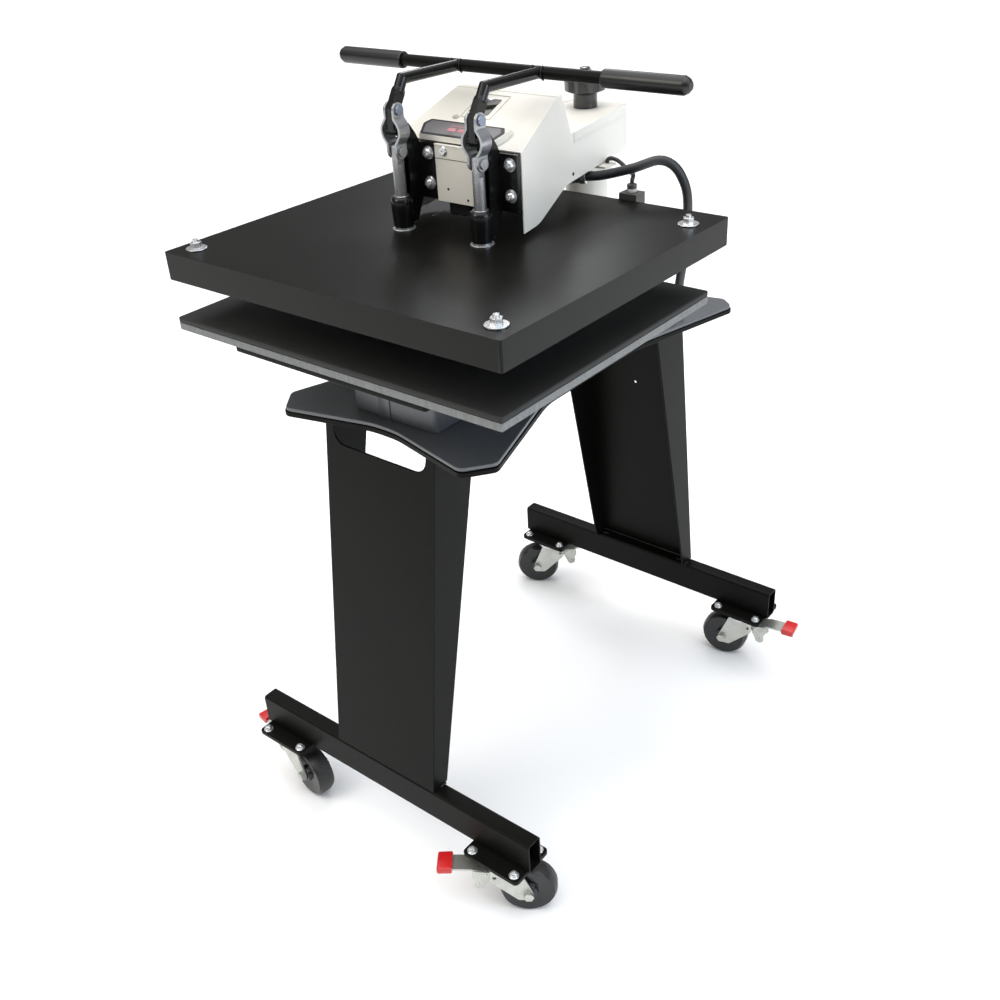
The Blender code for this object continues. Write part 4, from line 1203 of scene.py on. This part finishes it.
    def keypad(self) -> None:
        """Membrane film with generic keys on the console."""
        face = self.tilted(self.console)
        rim = [(-0.0555, 0.0004), (0.0555, 0.0004), (0.0640, 0.0200), (0.0575, 0.0290), (-0.0575, 0.0290),
               (-0.0640, 0.0200)]
        Form.slab(rim, 0.0, 0.0006, Axis.Z, 0.0015, 0.0002).move(face).piece("keypad_border", Finish.PANEL, "head")
        inner = [(-0.0525, 0.0034), (0.0525, 0.0034), (0.0590, 0.0185), (0.0540, 0.0262), (-0.0540, 0.0262),
                 (-0.0590, 0.0185)]
        Form.slab(inner, 0.0006, 0.0009, Axis.Z, 0.0012, 0.0001).move(face).piece("keypad_film", Finish.FILM, "head")
        keys = Form()
        for x, width in ((-0.0190, 0.0125), (-0.0030, 0.0125), (0.0130, 0.0060)):
            outline = [(x, 0.0100), (x + width, 0.0100), (x + width, 0.0160), (x, 0.0160)]
            keys.join(Form.slab(outline, 0.0009, 0.0013, Axis.Z, 0.0012, 0.0001))
        keys.join(Form.block((-0.0190, 0.0195, 0.0009), (0.0130, 0.0206, 0.0011)))
        keys.move(face).piece("keypad_keys", Finish.KEY, "head")

    def display(self) -> None:
        """The slope's facing sheet, with the dark display lens, its outline and the oval button."""
        face = self.tilted(self.slope)
        sheet = [(-0.0983, 0.0), (0.0983, 0.0), (0.0799, 0.1086), (-0.0799, 0.1086)]
        Form.slab(sheet, -0.0014, 0.00015, Axis.Z, 0.0, 0.0001).move(face).piece("hood_facing", Finish.CREAM, "head")
        Form.slab([(-0.026, 0.0576), (0.007, 0.0576), (0.007, 0.0902), (-0.026, 0.0902)], 0.0002, 0.0009, Axis.Z,
                  0.0012, 0.0002).move(face).piece("display_lens", Finish.LENS, "head")
        rim = Form()
        left, right, low, high, width = -0.0315, 0.0155, 0.0500, 0.0985, 0.0008
        for a, b in (((left, low), (right, low + width)), ((left, high - width), (right, high)),
                     ((left, low + width), (left + width, high - width)),
                     ((right - width, low + width), (right, high - width))):
            rim.join(Form.block((*a, 0.0002), (*b, 0.0005)))
        rim.move(face).piece("display_outline", Finish.OUTLINE, "head")
        button = Form.turned([(0, 0.0002), (0.0042, 0.0002), (0.0042, 0.0010), (0.0030, 0.0018), (0, 0.0020)],
                             (0, 0, 0), Axis.Z, 24)
        button.move(face @ Matrix.Translation((-0.0365, 0.0480, 0)) @ Matrix.Diagonal((1.25, 0.85, 1.0, 1.0)))
        button.piece("display_button", Finish.OUTLINE, "head", 30.0)

    def deck(self) -> None:
        """Raised side laps along the rear deck and the folded ridge at the hood's peak."""
        laps = Form()
        low, high = self.laps
        for side in (-1, 1):
            edge = [(side * (self.half(y) + step), y + PRESS_Y)
                    for y, step in ((low, -0.0032), (low, 0.0011), (high, 0.0011), (high, -0.0032))]
            laps.join(Form.slab(edge, self.deck_top - 0.0125, self.deck_top + 0.0012, Axis.Z, 0.0, 0.0007))
        laps.piece("deck_laps", Finish.CREAM, "head")
        y0, y1, z = self.peak[0] + PRESS_Y, self.peak[1] + PRESS_Y, 1.0190
        half = self.half(0.135)
        ridge = Form.block((-half, y0, z), (half, y1, z + 0.0012), 0.0005)
        ridge.piece("hood_ridge", Finish.CREAM, "head")


# Toggle, handle, platen and knob


@dataclass
class Toggle:
    """Crank arms, links, pins, push rods and the handle bar with its grips."""

    weld_out: float = 0.0074
    weld_ring: float = 0.0083


    def build(self) -> None:
        """Dress the CAD nodes and add welds and grip collars."""
        dress(Finish.GLOSS, "crank_arm_left", "crank_arm_right", edges=Softening(0.0005))
        dress(Finish.STAND, "handle_bar", edges=Softening(0.0003))
        dress(Finish.VINYL, "handle_grip_left", "handle_grip_right", edges=Softening(0.0003))
        dress(Finish.BLUED, "crank_pin_left", "crank_pin_right", edges=Softening(0.0004))
        for side in ("left", "right"):
            dress(Finish.LINK, f"toggle_strap_{side}_inner", f"toggle_strap_{side}_outer", edges=Softening(0.0004))
            dress(Finish.STEEL, f"push_rod_{side}", edges=Softening(0.0004))
        self.welds()
        self.grips()

    def welds(self) -> None:
        """Weld collars where the crank arms meet the handle bar."""
        bar = middle("handle_bar")
        for name, side in SIDES:
            forms = []
            for out in (-1, 1):
                x = side * ROD_X + out * self.weld_out
                route = [Vector((x, bar.y + self.weld_ring * cos(a), bar.z + self.weld_ring * sin(a)))
                         for a in (radians(110 + 10 * k) for k in range(15))]
                radii = [0.0010 + 0.0003 * cos(2.3 * k) for k in range(15)]
                forms.append(Form.tube(route, radii, 8))
            Form().join(*forms).piece(f"handle_welds_{name}", Finish.GLOSS, "handle", 80.0)

    def grips(self) -> None:
        """Rolled collars at the inner ends of the vinyl grips."""
        bar = middle("handle_bar")
        for name, side in SIDES:
            low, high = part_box(f"handle_grip_{name}")
            inner = low.x if side > 0 else high.x
            lip = [(0.0080, 0.0), (0.0102, 0.0003), (0.0107, 0.0014), (0.0107, 0.0032), (0.0102, 0.0044),
                   (0.0080, 0.0046), (0.0080, 0.0)]
            form = Form.turned([(r, side * h) for r, h in lip], (inner, bar.y, bar.z), Axis.X, 28)
            form.piece(f"grip_collar_{name}", Finish.VINYL, "handle", 45.0)


@dataclass
class UpperPlaten:
    """Heat platen, its cover, the corner bolts and the terminal box."""

    seam: float = 0.0008
    corner: float = 0.0034

    def build(self) -> None:
        """Dress the CAD nodes and add seams and nuts."""
        dress(Finish.COVER, "platen_cover", edges=Softening(0.0011, 3))
        dress(Finish.ALUMINIUM, "heat_platen")
        dress(Finish.BRIGHT, *(f"platen_bolt_{row}_{side}" for row in ("front", "rear") for side in ("left", "right")),
              edges=Softening(0.0005))
        dress(Finish.GREY_PLASTIC, "terminal_box", edges=Softening(0.0010))
        self.seams()
        self.rings()
        self.gland()

    def seams(self) -> None:
        """Welded corner seams on the cover."""
        low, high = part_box("platen_cover")
        form = Form()
        for x in (low.x, high.x):
            inward = 1 if x < 0 else -1
            form.join(Form.block((x + inward * self.corner - self.seam / 2, low.y - 0.00012, low.z + 0.0004),
                                 (x + inward * self.corner + self.seam / 2, low.y + 0.0006, high.z - 0.0016), 0.0001))
        form.piece("cover_seams", Finish.GLOSS, "upper_platen")

    def rings(self) -> None:
        """Bright snap rings where the push rods meet the cover."""
        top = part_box("platen_cover")[1].z
        for name in ("left", "right"):
            rod = middle(f"push_rod_{name}")
            ring = [(0.0120, 0.0003), (0.0148, 0.0003), (0.0148, 0.0011), (0.0142, 0.0015), (0.0120, 0.0015),
                    (0.0120, 0.0003)]
            form = Form.turned(ring, (rod.x, rod.y, top), Axis.Z, 32)
            form.piece(f"rod_ring_{name}", Finish.BRIGHT, "upper_platen", 40.0)

    def gland(self) -> None:
        """Pale hexagon nut on the terminal box."""
        low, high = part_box("terminal_box")
        centre = ((low.x + high.x) / 2 - 0.0005, (low.y + high.y) / 2 + 0.0008, 0.8822)
        nut = Form.hexagon(0.0125, 0.0, 0.0046, centre)
        nut.piece("cable_nut", Finish.WHITE_PLASTIC, "upper_platen", 30.0)


@dataclass
class Knob:
    """Pressure knob with its insert and nut."""

    def build(self) -> None:
        """Dress the knob and add its bright insert and nut."""
        dress(Finish.KNOB, "pressure_knob", edges=Softening(0.0008))
        dress(Finish.STEEL, "pressure_spindle", edges=Softening(0.0003))
        centre = middle("pressure_spindle")
        low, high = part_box("pressure_knob")
        insert = [(0.0073, -0.0162), (0.0158, -0.0162), (0.0158, -0.0148), (0.0150, -0.0142), (0.0073, -0.0142),
                  (0.0073, -0.0162)]
        place = (centre.x, centre.y, high.z)
        Form.turned(insert, place, Axis.Z, 32).piece("knob_insert", Finish.STEEL, "pressure_adjuster", 40.0)
        nut = Form.hexagon(0.0165, -0.0142, -0.0035, place, turn=0.35)
        nut.piece("knob_nut", Finish.BRIGHT, "pressure_adjuster", 30.0)


@dataclass
class HeatPress:
    """The whole press, in the order in which it is dressed."""


    def build(self) -> None:
        """Build every part."""
        Lines().build()
        Stand().build()
        for key, heading in HEADINGS.items():
            tube = middle("foot_tube_front" if key[0] == "f" else "foot_tube_rear")
            Caster(key, CASTER_X * (-1 if key[1] == "l" else 1), tube.y, heading).build()
        for part in (Head(), Toggle(), UpperPlaten(), Knob()):
            part.build()
            LOG.info("%s is dressed", type(part).__name__)


def main() -> None:
    """Build the studio and the press."""
    logging.basicConfig(level=logging.INFO, format="%(message)s")
    Camera().build()
    HeatPress().build()
    Studio().build()


if __name__ == "__main__":
    main()
